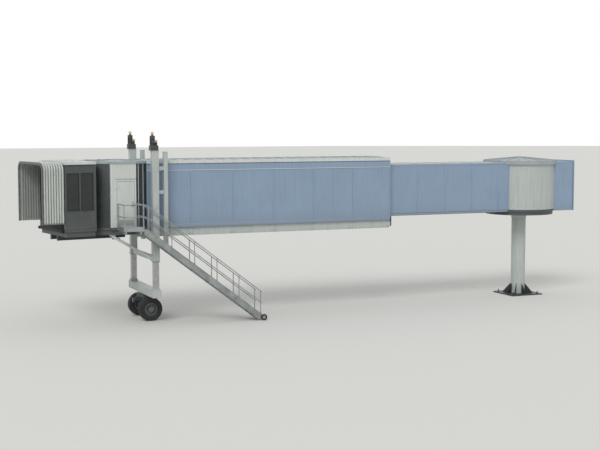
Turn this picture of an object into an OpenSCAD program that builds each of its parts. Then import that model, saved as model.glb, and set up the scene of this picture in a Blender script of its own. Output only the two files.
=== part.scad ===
// Jet bridge: a two-tunnel apron drive boarding bridge, standing level.
// Origin on the ground under the terminal rotunda, +Z up, aircraft end towards -X,
// and the side with the service stair towards -Y.

/* [Levels] */
// Walking level of the outer tunnel and the cab
floor_z = 4500; // [4000:50:5000]
// How far the inner tunnel's floor lies above the outer tunnel's
inner_step = 180; // [150:10:250]
// Thickness of every floor plate
floor_t = 120; // [80:10:150]

/* [Outer tunnel] */
// Outside width of the outer tunnel
outer_w = 2900; // [2800:50:3200]
// Clear height inside the outer tunnel
outer_clear_h = 2890; // [2850:10:3200]
// Thickness of the outer tunnel's walls
outer_wall_t = 75; // [50:5:100]
// Thickness of every roof at its edge
roof_t = 110; // [80:10:150]
// Rise of a roof from its edge to its middle
roof_crown = 40; // [20:5:80]
// Length of one wall bay
bay_len = 2100; // [1900:50:2200]
// Number of wall bays
bay_n = 6; // [6:1:7]
// Height of the frieze band under the roof
frieze_h = 290; // [150:10:400]
// How far the frieze and the bay ribs stand out from the wall
frieze_out = 15; // [8:1:25]
// Width of a bay rib
rib_w = 70; // [40:5:120]
// Height of the light trim along the roof edge
trim_h = 150; // [100:10:200]
// Thickness of that trim
trim_t = 30; // [15:5:50]

/* [Inner tunnel] */
// Distance from the outer tunnel's outside face to the inner tunnel's, on each side
tunnel_nest = 250; // [200:10:300]
// Clear height inside the inner tunnel
inner_clear_h = 2400; // [2200:50:2450]
// Thickness of the inner tunnel's walls
inner_wall_t = 55; // [40:5:75]
// Length of the inner tunnel from the rotunda wall
inner_len = 11800; // [11000:100:13000]
// Length that lies inside the outer tunnel at rest
overlap = 5050; // [4500:50:6000]

/* [Underframe] */
// Depth of the rails under the outer tunnel
rail_h = 380; // [250:10:420]
// Width of those rails
rail_w = 160; // [100:10:250]
// Distance of each rail's middle from the tunnel's outside face
rail_inset = 170; // [150:10:400]
// Length of a cross member along the tunnel
cross_w = 120; // [80:10:200]
// Depth of a cross member
cross_h = 220; // [150:10:240]

/* [Terminal rotunda] */
// Outside radius of the terminal rotunda
hall_r = 1850; // [1750:50:2000]
// Thickness of its curved wall
hall_wall_t = 70; // [50:5:100]
// Overhang of its roof
hall_eave = 90; // [50:10:150]
// Rise of its conical roof
hall_roof_rise = 160; // [100:10:300]
// Distance from the rotunda's centre to the face that meets the building
portal_x = 2600; // [2400:50:3000]
// Outside width of the portal
portal_w = 2600; // [2500:50:2700]
// Diameter of the pedestal column
pedestal_d = 760; // [500:20:1000]
// Height of the ribs round the column's foot
pedestal_rib_h = 520; // [300:10:700]
// How far the flange on the column's head stands out
head_out = 130; // [80:5:200]
// Side of the square base plate
base_side = 1900; // [1600:50:2200]
// Thickness of the base plate
base_t = 60; // [40:5:80]
// Distance between anchor bolts
anchor_pitch = 1500; // [1400:20:1560]
// Diameter of an anchor bolt hole
anchor_d = 52; // [30:2:60]

/* [Cab rotunda] */
// Distance from the outer tunnel's end to the cab's turning axis
cab_axis_x = 1100; // [1000:20:1200]
// Radius of the fixed floor disc
disc_r = 1760; // [1700:10:1800]
// Depth of the steel ring under the floor disc
ring_h = 230; // [180:10:260]
// Radius of the cab's pivot
pivot_r = 110; // [80:5:140]
// Gap between the fixed disc and the cab around it
disc_gap = 20; // [15:5:30]
// How far the flat door wall's outside face lies inside the floor disc's edge
door_wall_inset = 10; // [5:5:20]
// Thickness of the door wall
door_wall_t = 70; // [50:5:90]
// Where the door wall starts, ahead of the turning axis
door_wall_front = 670; // [620:10:700]
// Where the door wall ends, behind the turning axis
door_wall_back = 520; // [480:10:540]
// Clear width of the service doorway
door_w = 850; // [750:10:870]
// Clear height of the service doorway
door_h = 2100; // [2000:10:2200]
// Distance from the turning axis forward to the doorway's front jamb
door_front = 400; // [380:10:440]
// Gap around the service door
door_gap = 5; // [3:1:8]
// Thickness of the service door
door_t = 45; // [35:5:60]
// Width of one curtain slat
slat_w = 62; // [50:2:80]
// Thickness of a curtain
curtain_t = 20; // [15:1:25]
// How far the curtains' outer face lies inside the floor disc's edge
curtain_inset = 20; // [15:5:60]

/* [Cab] */
// How far the cab is turned towards the stair side at rest
cab_rest = 9; // [0:1:20]
// Distance from the turning axis to the cab's front edge
cab_front = 3100; // [2900:50:3300]
// How far the cab's rear walls reach in over the floor disc's edge
cab_rear_in = 140; // [60:10:160]
// Half of the cab's outside width
cab_half_w = 1600; // [1500:20:1700]
// Half of the clear width of the way from the rotunda into the cab
throat_half = 950; // [900:10:960]
// Thickness of the cab's walls
cab_wall_t = 50; // [40:5:60]
// Height of the solid panel under the windows
sill_h = 850; // [700:10:1000]
// Height of the solid band over the windows
header_h = 390; // [300:10:500]
// Width of the posts between the windows
cab_post_w = 90; // [60:5:120]
// Thickness of the window glass
glass_t = 12; // [8:1:20]
// Depth of the two arms that carry the cab from its pivot
arm_h = 200; // [150:10:240]
// Width of such an arm
arm_w = 150; // [100:10:200]
// Radius of the hub that joins the arms
hub_r = 400; // [300:10:450]
// Projection of the front bumper
bumper_out = 130; // [100:10:160]
// Height of the front bumper
bumper_h = 130; // [100:10:180]

/* [Canopy] */
// Number of folds in the canopy
fold_n = 8; // [6:1:10]
// Length of one fold
fold_pitch = 122; // [110:1:130]
// Depth of a fold
fold_depth = 110; // [80:5:140]
// Thickness of the folded cloth
cloth_t = 24; // [18:2:34]
// Radius of the canopy's top corners, at the inside of the folds
corner_r = 260; // [200:10:400]
// Distance of the canopy's lower edge above the cab floor
canopy_hem = 250; // [150:10:500]
// Section of the hoop at the canopy's front
hoop_t = 70; // [50:5:90]

/* [Lift columns] */
// Distance from the outer tunnel's outside face to each lift column's middle
column_out = 450; // [410:10:490]
// Distance from the outer tunnel's end to the lift columns
column_in = 260; // [240:10:300]
// Outside width of the outer column tube
column_w = 310; // [280:10:320]
// Width of the inner column tube
column_inner_w = 250; // [200:10:260]
// Wall of the inner column tube
column_inner_t = 16; // [10:1:30]
// How far the flanges at a column's ends stand out
column_flange = 24; // [15:1:28]
// Height of the outer column's foot above the ground
column_foot_z = 2900; // [2700:50:3100]
// Height of the outer column's top above the roof edge
column_over_roof = 480; // [300:20:700]
// Distance from the column to the slim mast beside it
mast_dx = 500; // [420:10:560]
// Width of the slim mast
mast_w = 190; // [150:10:220]
// Height of the gear case on a column
gear_h = 230; // [150:10:300]
// Radius of a lift motor
motor_r = 110; // [80:5:125]
// Height of a lift motor without its fan cowl
motor_h = 330; // [240:10:400]
// Radius of a warning lamp
lamp_r = 55; // [40:5:70]
// Height of a warning lamp's lens
lamp_h = 120; // [80:10:160]
// Width of the tie beam between the column feet
tie_w = 200; // [150:10:240]
// Section of the diagonal brace
brace_w = 120; // [80:10:140]

/* [Carriage] */
// Underside of the carriage crossbeam
cross_z = 1220; // [1200:10:1300]
// Depth of the crossbeam
crossbeam_h = 340; // [280:10:400]
// Width of the crossbeam
crossbeam_w = 380; // [340:10:420]
// Radius of a tyre
tyre_r = 550; // [500:10:560]
// Width of a tyre
tyre_w = 380; // [300:10:420]
// Distance from the middle of the bogie to each wheel
wheel_y = 900; // [880:10:960]
// Radius of a wheel rim
rim_r = 290; // [260:10:320]
// Radius of the fixed stub axle
axle_r = 60; // [50:2:80]
// Radius of the slewing ring over the bogie
slew_r = 360; // [300:10:400]

/* [Service stair] */
// Depth of one tread from nosing to nosing
going = 245; // [240:1:260]
// Number of risers from the ground to the landing
riser_n = 24; // [23:1:26]
// Depth of a tread's folded pan
tread_h = 40; // [30:1:60]
// Sheet of the treads and toe boards
tread_t = 6; // [4:1:8]
// Clear width between the stringers
stair_w = 740; // [700:10:800]
// Thickness of a stringer
stringer_t = 30; // [20:2:40]
// Web of a stringer, which is a channel open to the outside
stringer_web = 8; // [6:1:12]
// Depth of a stringer, measured upright
stringer_h = 330; // [260:10:360]
// Length of the landing
landing_len = 950; // [930:10:1000]
// Height of the toe boards round the landing
toe_h = 120; // [80:10:150]
// Depth of the landing's frame
landing_t = 90; // [60:5:120]
// Height of the handrail
rail_top = 1100; // [900:10:1200]
// Diameter of the handrail tube
rail_d = 42; // [30:2:50]
// Radius of the rollers at the stair's foot
roller_r = 150; // [120:10:180]
// Radius of the rollers' axle
stair_axle_r = 22; // [15:1:30]

/* [Hidden] */
$fn = 96;
// Facets of a circle over a metre across
wide_fn = 360;
// Clearance of seated pieces
seat = 0.3;
// Radial clearance of a pin in its bore
pin_gap = 0.08;
// Running clearance between the tunnels at a seal
seal_gap = 30;

roof_edge_z = floor_z + outer_clear_h + roof_t;
ceiling_z = floor_z + outer_clear_h;
inner_w = outer_w - 2 * tunnel_nest;
rail_y = outer_w / 2 - rail_inset;
column_y = outer_w / 2 + column_out;
door_wall_y = disc_r - door_wall_inset;
curtain_r = disc_r - curtain_inset;
cab_rear = disc_r - cab_rear_in;
inner_floor_z = floor_z + inner_step;
inner_ceiling_z = inner_floor_z + inner_clear_h;
outer_len = bay_len * bay_n;
inner_x0 = -hall_r;
inner_x1 = -hall_r - inner_len;
outer_x0 = inner_x1 + overlap;
outer_x1 = outer_x0 - outer_len;
cab_x = outer_x1 - cab_axis_x;
column_x = outer_x1 + column_in;
column_top_z = roof_edge_z + column_over_roof;
rail_z = floor_z - floor_t - rail_h;
ring_z = floor_z - floor_t - ring_h;
arm_top_z = ring_z - 20;
pivot_foot_z = arm_top_z - arm_h - 80;
throat_out = throat_half + cab_wall_t;
throat_a = asin(throat_out / (disc_r + disc_gap));
cab_roof_z = roof_edge_z;
stair_x = cab_x - door_front + landing_len;
stair_top_z = floor_z - 20;
riser = stair_top_z / riser_n;
stair_y = column_y + column_w / 2 + 95;
stair_mid_y = stair_y + stringer_t + stair_w / 2;
stair_foot_x = stair_x + going * (riser_n - 1);
axle_z = tyre_r;
canopy_len = fold_n * fold_pitch;
canopy_half = cab_half_w - fold_depth - 20;
canopy_top_z = cab_roof_z - fold_depth;

// A rectangular block between two opposite corners
module block(from, to) {
    translate(from)
        cube(to - from);
}

// The children and their mirror image on the other side of the tunnel
module both_sides() {
    children();
    mirror([0, 1, 0])
        children();
}

// A square bar of width w from point p to point q, with its top face kept upright
module bar(p, q, w) {
    d = q - p;
    reach = norm([d.x, d.y]);
    translate(p)
        rotate([0, 90 - atan2(d.z, reach), atan2(d.y, d.x)])
            translate([-w / 2, -w / 2, 0])
                cube([w, w, norm(d)]);
}

// A round tube of diameter d from point p to point q
module tube(p, q, d) {
    v = q - p;
    translate(p)
        rotate([0, 90 - atan2(v.z, norm([v.x, v.y])), atan2(v.y, v.x)])
            cylinder(h = norm(v), d = d, $fn = 24);
}

// A plate with its outline in plan, between two heights
module plate(z0, z1) {
    translate([0, 0, z0])
        linear_extrude(z1 - z0)
            children();
}

// A profile drawn across the tunnel (Y, Z), drawn out along X from x0 to x1
module along_x(x0, x1) {
    translate([x0, 0, 0])
        rotate([90, 0, 90])
            linear_extrude(x1 - x0)
                children();
}

// Pieces of the cab, drawn looking straight ahead and turned to the rest position
module on_cab() {
    translate([cab_x, 0, 0])
        rotate(cab_rest)
            children();
}

// A point on the cab rotunda at an angle from straight ahead, positive on the stair side
function ahead(r, a) = [-r * cos(a), -r * sin(a)];

// A curved wall between two radii and two angles, measured like ahead()
module arc_wall(r_in, r_out, a0, a1, z0, z1) {
    translate([0, 0, z0])
        rotate(180 + a0)
            rotate_extrude(angle = a1 - a0, $fn = wide_fn)
                translate([r_in, 0])
                    square([r_out - r_in, z1 - z0]);
}

// Terminal end

module pedestal_base() color("dimgray") {
    difference() {
        block([-base_side / 2, -base_side / 2, 0], [base_side / 2, base_side / 2, base_t]);
        for (x = [-1, 1], y = [-1, 1])
            translate([x * anchor_pitch / 2, y * anchor_pitch / 2, -1])
                cylinder(h = base_t + 2, d = anchor_d);
    }
    for (a = [0 : 45 : 315])
        rotate(a)
            translate([pedestal_d / 2 + seat, 10, base_t - 1])
                rotate([90, 0, 0])
                    linear_extrude(20)
                        polygon([[0, 0], [base_side / 2 - pedestal_d / 2 - 120, 0], [0, pedestal_rib_h]]);
}

module pedestal_column() color("gainsboro") {
    head_z = inner_floor_z - floor_t - 60;
    translate([0, 0, base_t])
        cylinder(h = head_z - base_t, d = pedestal_d);
    translate([0, 0, head_z])
        cylinder(h = 60, d = pedestal_d + 2 * head_out);
    translate([0, 0, head_z - 3 * head_out])
        cylinder(h = 3 * head_out, d1 = pedestal_d, d2 = pedestal_d + 2 * head_out - 80);
}

module terminal_rotunda_floor() color("dimgray") {
    translate([0, 0, inner_floor_z - floor_t])
        cylinder(h = floor_t, r = hall_r, $fn = wide_fn);
    rotate_extrude($fn = wide_fn)
        translate([hall_r - 180, inner_floor_z - floor_t - 180])
            square([120, 180]);
}

hall_inner_a = asin((inner_w / 2) / hall_r);
hall_portal_a = asin((portal_w / 2) / hall_r);

module terminal_rotunda_wall(sign) {
    mirror([0, sign > 0 ? 1 : 0, 0])
        arc_wall(hall_r - hall_wall_t, hall_r, hall_inner_a + 0.02, 180 - hall_portal_a - 0.02,
            inner_floor_z, inner_ceiling_z - seat);
}

module terminal_rotunda_near_wall() color("gainsboro") terminal_rotunda_wall(-1);

module terminal_rotunda_far_wall() color("gainsboro") terminal_rotunda_wall(1);

module terminal_rotunda_roof() color("whitesmoke") {
    translate([0, 0, inner_ceiling_z])
        cylinder(h = roof_t + 60, r = hall_r + hall_eave, $fn = wide_fn);
    translate([0, 0, inner_ceiling_z + roof_t + 60])
        cylinder(h = hall_roof_rise, r1 = hall_r + hall_eave, r2 = 250, $fn = wide_fn);
}

// A short sleeve from the drum to the building, with its floor, walls and roof in one
module terminal_portal() color("lightsteelblue") {
    difference() {
        block([hall_r * cos(hall_portal_a), -portal_w / 2, inner_floor_z - floor_t],
            [portal_x, portal_w / 2, inner_ceiling_z + roof_t]);
        block([0, -portal_w / 2 + hall_wall_t, inner_floor_z],
            [portal_x + 1, portal_w / 2 - hall_wall_t, inner_ceiling_z]);
        cylinder(h = inner_ceiling_z, r = hall_r + seat, $fn = wide_fn);
        translate([0, 0, inner_ceiling_z - 1])
            cylinder(h = roof_t * 2, r = hall_r + hall_eave + seat, $fn = wide_fn);
    }
}

// Inner tunnel

module inner_cut(r) {
    difference() {
        children();
        translate([0, 0, floor_z - 1000])
            cylinder(h = 5000, r = r, $fn = wide_fn);
    }
}

module inner_tunnel_floor() color("slategray") inner_cut(hall_r + seat)
    block([inner_x1, -inner_w / 2, inner_floor_z - floor_t], [0, inner_w / 2, inner_floor_z]);

module inner_tunnel_wall() {
    inner_cut(hall_r + seat)
        block([inner_x1, -inner_w / 2, inner_floor_z],
            [0, -inner_w / 2 + inner_wall_t, inner_ceiling_z]);
}

module inner_tunnel_near_wall() color("lightsteelblue") inner_tunnel_wall();

module inner_tunnel_far_wall() color("lightsteelblue") mirror([0, 1, 0]) inner_tunnel_wall();

module inner_tunnel_roof() color("whitesmoke") inner_cut(hall_r + hall_eave + seat)
    along_x(inner_x1, 0)
        polygon([
            [-inner_w / 2, inner_ceiling_z],
            [inner_w / 2, inner_ceiling_z],
            [inner_w / 2, inner_ceiling_z + roof_t - 30],
            [0, inner_ceiling_z + roof_t],
            [-inner_w / 2, inner_ceiling_z + roof_t - 30]
        ]);

// Outer tunnel

module outer_tunnel_floor() color("slategray")
    block([outer_x1, -outer_w / 2, floor_z - floor_t], [outer_x0, outer_w / 2, floor_z]);

// Smooth lower panel, a slim rail, the frieze band and a shadow groove under the roof trim
module outer_tunnel_wall() {
    wall_out = -outer_w / 2;
    groove_z = ceiling_z - 60;
    frieze_z = groove_z - frieze_h;
    along_x(outer_x1, outer_x0)
        polygon([
            [wall_out + outer_wall_t, floor_z],
            [wall_out + outer_wall_t, ceiling_z],
            [wall_out + 25, ceiling_z],
            [wall_out + 25, groove_z],
            [wall_out - frieze_out, groove_z],
            [wall_out - frieze_out, frieze_z],
            [wall_out, frieze_z],
            [wall_out, floor_z]
        ]);
    for (i = [0 : bay_n])
        block([min(outer_x1 + i * bay_len, outer_x0 - rib_w), wall_out - frieze_out, floor_z],
            [min(outer_x1 + i * bay_len, outer_x0 - rib_w) + rib_w, wall_out + 10, frieze_z]);
}

module outer_tunnel_near_wall() color("steelblue") outer_tunnel_wall();

module outer_tunnel_far_wall() color("steelblue") mirror([0, 1, 0]) outer_tunnel_wall();

module outer_tunnel_roof() color("silver")
    along_x(outer_x1, outer_x0)
        polygon([
            [-outer_w / 2, ceiling_z],
            [outer_w / 2, ceiling_z],
            [outer_w / 2, roof_edge_z],
            [0, roof_edge_z + roof_crown],
            [-outer_w / 2, roof_edge_z]
        ]);

module roof_edge_trims() color("whitesmoke") both_sides()
    block([outer_x1, -outer_w / 2 - seat - trim_t, roof_edge_z - trim_h + 20],
        [outer_x0, -outer_w / 2 - seat, roof_edge_z + 20]);

// Two rails with cross members at the bay joints
module underframe() color("lightgray") {
    both_sides()
        block([outer_x1, -rail_y - rail_w / 2, rail_z],
            [outer_x0, -rail_y + rail_w / 2, floor_z - floor_t]);
    for (i = [0 : bay_n])
        block([outer_x1 + i * (outer_len - cross_w) / bay_n, -rail_y, floor_z - floor_t - cross_h],
            [outer_x1 + i * (outer_len - cross_w) / bay_n + cross_w, rail_y, floor_z - floor_t]);
}

// Three bars that close the gap round the inner tunnel at the outer tunnel's open end
module tunnel_end_frame() color("dimgray") {
    end_t = 90;
    opening_y = inner_w / 2 + seal_gap;
    opening_z = inner_ceiling_z + roof_t + seal_gap;
    both_sides()
        block([outer_x0 - end_t, -outer_w / 2 + outer_wall_t + seat, floor_z + seat],
            [outer_x0, -opening_y, opening_z]);
    block([outer_x0 - end_t, -outer_w / 2 + outer_wall_t + seat, opening_z + seat],
        [outer_x0, outer_w / 2 - outer_wall_t - seat, ceiling_z - seat]);
}

// Two rollers under the inner tunnel's floor, each in a bracket on an underframe rail
module tunnel_rollers() color("darkslategray") both_sides() {
    run_r = 90;
    run_y = inner_w / 2 - 110;
    run_z = inner_floor_z - floor_t - seat - run_r;
    run_x = outer_x0 + 150;
    translate([run_x, -run_y, run_z])
        rotate([90, 0, 0])
            cylinder(h = 110, r = run_r, center = true);
    translate([run_x, -run_y, run_z])
        rotate([90, 0, 0])
            cylinder(h = 220, r = 25, center = true);
    for (s = [-1, 1])
        block([outer_x0 + seat, -run_y + s * 85 - 12, rail_z + 60],
            [run_x + 60, -run_y + s * 85 + 12, run_z + 45]);
    block([outer_x0 + seat, -run_y - 97, rail_z + 60], [run_x + 60, -run_y + 97, rail_z + 80]);
}

// Cab rotunda, fixed to the outer tunnel

// Plan of the fixed rotunda, centred on the turning axis
module rotunda_plan(edge) {
    union() {
        behind_tunnel_end()
            difference() {
                circle(r = disc_r, $fn = wide_fn);
                translate([-disc_r, -door_wall_y - edge - disc_r])
                    square([2 * disc_r, disc_r]);
            }
        translate([0, -outer_w / 2])
            square([cab_axis_x - seat, outer_w]);
        polygon([
            [-door_wall_front, 0],
            [-door_wall_front, -door_wall_y - edge],
            [door_wall_back, -door_wall_y - edge],
            [cab_axis_x - seat, -outer_w / 2],
            [cab_axis_x - seat, 0]
        ]);
    }
}

// The part of a plan that lies ahead of the outer tunnel's end
module behind_tunnel_end() {
    intersection() {
        children();
        translate([-2 * disc_r, -2 * disc_r])
            square([2 * disc_r + cab_axis_x - seat, 4 * disc_r]);
    }
}

module cab_rotunda_floor() color("slategray") translate([cab_x, 0, 0]) {
    plate(floor_z - floor_t, floor_z)
        rotunda_plan(0);
    plate(ring_z, floor_z - floor_t)
        behind_tunnel_end()
            difference() {
                circle(r = disc_r - 60, $fn = wide_fn);
                circle(r = disc_r - 260, $fn = wide_fn);
            }
    block([-disc_r + 160, -90, ring_z], [cab_axis_x - seat, 90, floor_z - floor_t]);
    block([-90, -disc_r + 160, ring_z], [90, disc_r - 160, floor_z - floor_t]);
    translate([0, 0, pivot_foot_z])
        cylinder(h = floor_z - floor_t - pivot_foot_z, r = pivot_r);
    translate([0, 0, pivot_foot_z - 40])
        cylinder(h = 40, r = pivot_r + 80);
}

module cab_rotunda_roof() color("silver") translate([cab_x, 0, 0]) {
    plate(ceiling_z, roof_edge_z)
        rotunda_plan(40);
    translate([0, 0, roof_edge_z])
        cylinder(h = roof_crown, r1 = cab_axis_x - 10, r2 = 300, $fn = wide_fn);
}

// Flat wall with the service doorway: a corner post, two jambs and the panel over the door
module door_wall() color("gainsboro") translate([cab_x, 0, 0]) {
    inner_y = -door_wall_y + door_wall_t;
    door_back = -door_front + door_w;
    difference() {
        block([-door_wall_front, -door_wall_y, floor_z], [door_wall_back, inner_y, ceiling_z]);
        block([-door_front, -door_wall_y - 1, floor_z - 1],
            [door_back, inner_y + 1, floor_z + door_h]);
    }
    block([-door_wall_front, -door_wall_y, floor_z],
        [-door_wall_front + 70, -curtain_r * cos(asin((door_wall_front - 70) / curtain_r)) + 40,
            ceiling_z]);
}

module service_door() color("gainsboro") translate([cab_x, 0, 0]) {
    face_y = -door_wall_y + 12;
    block([-door_front + door_gap, face_y, floor_z + door_gap],
        [-door_front + door_w - door_gap, face_y + door_t, floor_z + door_h - door_gap]);
    for (z = [200, door_h / 2, door_h - 300]) {
        translate([-door_front, -door_wall_y - seat - 14, floor_z + z])
            cylinder(h = 110, r = 14);
        block([-door_front, -door_wall_y - seat - 16, floor_z + z + 5],
            [-door_front + 70, face_y + 5, floor_z + z + 105]);
    }
    translate([-door_front + door_w - 90, face_y - 55, floor_z + 1050])
        rotate([0, 90, 0])
            cylinder(h = 130, r = 14, center = true);
    for (x = [-60, 60])
        translate([-door_front + door_w - 90 + x, face_y, floor_z + 1050])
            rotate([90, 0, 0])
                cylinder(h = 60, r = 10);
}

// Upright slats that close each side between the rotunda and the tunnel's end
module slat_panels() color("slategray") translate([cab_x, 0, 0]) {
    tunnel_corner = [cab_axis_x - seat, -outer_w / 2 + outer_wall_t];
    near_corner = [door_wall_back + seat, -door_wall_y + 12];
    plate(floor_z, ceiling_z)
        between_walls(door_wall_back + seat)
            slat_run(near_corner, tunnel_corner);
    mirror([0, 1, 0])
        plate(floor_z, ceiling_z)
            between_walls(-disc_r)
                slat_run(ahead(disc_r - 12, far_curtain_a - 0.5), tunnel_corner);
}

// The part of a plan between x0 and the outer tunnel's end
module between_walls(x0) {
    intersection() {
        children();
        translate([x0, -2 * disc_r])
            square([cab_axis_x - seat - x0, 4 * disc_r]);
    }
}

// Plan of a slatted wall from p to q: a backing strip with a raised slat at every slat width
module slat_run(p, q) {
    d = q - p;
    n = max(2, floor(norm(d) / slat_w));
    pitch = norm(d) / n;
    translate(p)
        rotate(atan2(d.y, d.x)) {
            square([norm(d), 18]);
            for (i = [0 : n - 1])
                translate([i * pitch + 6, -12])
                    square([pitch - 12, 14]);
        }
}

// Roller curtains of upright slats, between the turning cab and the fixed rotunda
near_curtain_a = asin(sqrt(curtain_r * curtain_r - door_wall_front * door_wall_front) / curtain_r);
far_curtain_a = 180 - max(asin((outer_w / 2 - 60) / disc_r), acos((cab_axis_x - 15) / disc_r));

module near_curtain() color("dimgray") translate([cab_x, 0, 0])
    arc_wall(curtain_r - curtain_t, curtain_r, cab_rest + throat_a - 3, near_curtain_a - 0.3,
        floor_z, ceiling_z - seat);

module far_curtain() color("dimgray") translate([cab_x, 0, 0])
    arc_wall(curtain_r - curtain_t, curtain_r, -far_curtain_a + 0.5, cab_rest - throat_a + 3,
        floor_z, ceiling_z - seat);

// Lift columns

module lift_outer_columns() color("gainsboro") both_sides() {
    in_r = column_inner_w / 2 + seat;
    out_r = column_w / 2 + column_flange;
    difference() {
        union() {
            block([column_x - column_w / 2, -column_y - column_w / 2, column_foot_z],
                [column_x + column_w / 2, -column_y + column_w / 2, column_top_z]);
            for (z = [column_foot_z, column_top_z - 14])
                block([column_x - out_r, -column_y - out_r, z],
                    [column_x + out_r, -column_y + out_r, z + 14]);
        }
        block([column_x - in_r, -column_y - in_r, column_foot_z - 1],
            [column_x + in_r, -column_y + in_r, column_top_z - 40]);
    }
    // Saddles that carry the tunnel on its underframe and hold it near the roof
    for (z = [rail_z, ceiling_z - 420])
        block([column_x - column_w / 2 + 30, -column_y + column_w / 2, z],
            [column_x + column_w / 2 - 30, -outer_w / 2 - frieze_out - seat, z + 300]);
    block([column_x - column_w / 2 + 30, -outer_w / 2 - frieze_out - seat - 1, rail_z],
        [column_x + column_w / 2 - 30, -rail_y - rail_w / 2 - seat, rail_z + 300]);
}

module lift_inner_columns() color("silver") both_sides() {
    out_r = column_inner_w / 2;
    in_r = out_r - column_inner_t;
    difference() {
        block([column_x - out_r, -column_y - out_r, cross_z + crossbeam_h],
            [column_x + out_r, -column_y + out_r, floor_z + 900]);
        block([column_x - in_r, -column_y - in_r, cross_z + crossbeam_h + 20],
            [column_x + in_r, -column_y + in_r, floor_z + 901]);
    }
}

// Slim masts beside the columns, each tied back to its column at three heights
module lift_masts() color("gainsboro") both_sides() {
    mast_x = column_x + mast_dx;
    block([mast_x - mast_w / 2, -column_y - mast_w / 2, column_foot_z + 700],
        [mast_x + mast_w / 2, -column_y + mast_w / 2, column_top_z - 60]);
    for (z = [column_foot_z + 800, floor_z + 1500, ceiling_z - 300])
        block([column_x + column_w / 2 + seat, -column_y - 60, z],
            [mast_x - mast_w / 2, -column_y + 60, z + 160]);
}

// Gear case, upright motor and fan cowl on each column
module lift_motors() color("dimgray") both_sides() translate([column_x, -column_y, column_top_z]) {
    block([-column_w / 2 - 80, -column_w / 2 + 20, 0],
        [column_w / 2 - 10, column_w / 2 - 20, gear_h]);
    translate([-column_w / 2 + 50, 0, gear_h]) {
        cylinder(h = motor_h, r = motor_r);
        translate([0, 0, motor_h])
            cylinder(h = motor_h / 3, r = motor_r + 12);
    }
    translate([column_w / 2 - 80, 0, gear_h])
        cylinder(h = 120, r = motor_r / 2);
}

// Round warning lamps, one on an arm beside each motor and one on top of it
module column_lamps() color("orange") both_sides() translate([column_x, -column_y, column_top_z]) {
    translate([-column_w / 2 + 50, 0, gear_h + 4 * motor_h / 3]) {
        cylinder(h = lamp_h / 2, r = lamp_r - 10);
        translate([0, 0, lamp_h / 2])
            cylinder(h = lamp_h, r = lamp_r);
    }
    translate([column_w / 2 - 80, 0, gear_h + 120]) {
        cylinder(h = lamp_h / 3, r = lamp_r - 15);
        translate([0, 0, lamp_h / 3])
            cylinder(h = 3 * lamp_h / 4, r = lamp_r - 7);
    }
}

module column_tie_beam() color("gainsboro")
    block([column_x - tie_w / 2, -column_y + column_w / 2 + seat, column_foot_z + 20],
        [column_x + tie_w / 2, column_y - column_w / 2 - seat, column_foot_z + 20 + tie_w]);

// Diagonal brace from the near column's foot to the rotunda's floor ring
module rotunda_brace() color("gainsboro") {
    foot = [column_x - column_w / 2 - seat, -column_y, column_foot_z + 150];
    head = [cab_x - 560, -sqrt(pow(disc_r - 160, 2) - 560 * 560), ring_z - seat];
    block([foot.x - 60, foot.y - 90, foot.z - 110], [foot.x, foot.y + 90, foot.z + 130]);
    bar(foot - [45, 0, 0], head - [0, 0, 60], brace_w);
    block([head.x - 110, head.y - 60, head.z - 60], [head.x + 130, head.y + 90, head.z]);
}

module carriage_crossbeam() color("gainsboro") {
    difference() {
        block([column_x - crossbeam_w / 2, -column_y - crossbeam_w / 2, cross_z],
            [column_x + crossbeam_w / 2, column_y + crossbeam_w / 2, cross_z + crossbeam_h]);
        translate([column_x, 0, cross_z - 1])
            cylinder(h = crossbeam_h - 40, r = 70 + pin_gap);
    }
    // Sockets that hold the feet of the inner columns
    in_r = column_inner_w / 2 + seat;
    out_r = in_r + 35;
    both_sides()
        difference() {
            block([column_x - out_r, -column_y - out_r, cross_z + crossbeam_h - 1],
                [column_x + out_r, -column_y + out_r, cross_z + crossbeam_h + 90]);
            block([column_x - in_r, -column_y - in_r, cross_z + crossbeam_h],
                [column_x + in_r, -column_y + in_r, cross_z + crossbeam_h + 91]);
        }
}

// Service stair on the near side

module landing() color("darkgray") {
    y0 = -door_wall_y - seat;
    y1 = -stair_mid_y - stair_w / 2 - stringer_t;
    x0 = cab_x - door_front;
    difference() {
        block([x0, y1, stair_top_z - landing_t], [stair_x, y0, stair_top_z]);
        block([x0 + 60, y1 + 60, stair_top_z - landing_t - 1],
            [stair_x - 60, y0 - 60, stair_top_z - 30]);
    }
    block([x0, y1, stair_top_z - 1], [stair_x, y1 + tread_t, stair_top_z + toe_h]);
    block([x0, y1, stair_top_z - 1], [x0 + tread_t, y0, stair_top_z + toe_h]);
    arm_z = floor_z - floor_t - 100;
    for (x = [x0 + 60, cab_x + door_wall_back - 160]) {
        block([x, y1 + 60, arm_z], [x + 100, y0, stair_top_z - landing_t + 1]);
        block([x, y0 - 50, arm_z], [x + 100, -door_wall_y + 45, floor_z - floor_t - seat]);
    }
}

// Each stringer runs from the landing to the rollers, cut level at both ends
// Side plate of the flight, seen from the side, cut back by inset for the channel's hollow
module stringer_side(inset) {
    slope = riser / going;
    foot_cut = 90;
    offset(delta = -inset)
        polygon([
            [stair_x + seat, stair_top_z - stringer_h + 90],
            [stair_x + seat, stair_top_z + 10],
            [stair_x + 150, stair_top_z + 10],
            [stair_foot_x + 190, stair_top_z + 10 - (stair_foot_x + 40 - stair_x) * slope],
            [stair_foot_x + 190, foot_cut],
            [stair_foot_x + 190 - 60, foot_cut],
            [stair_foot_x - 120, stair_top_z - stringer_h + 90
                - (stair_foot_x - 120 - stair_x) * slope + 10]
        ]);
}

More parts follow.
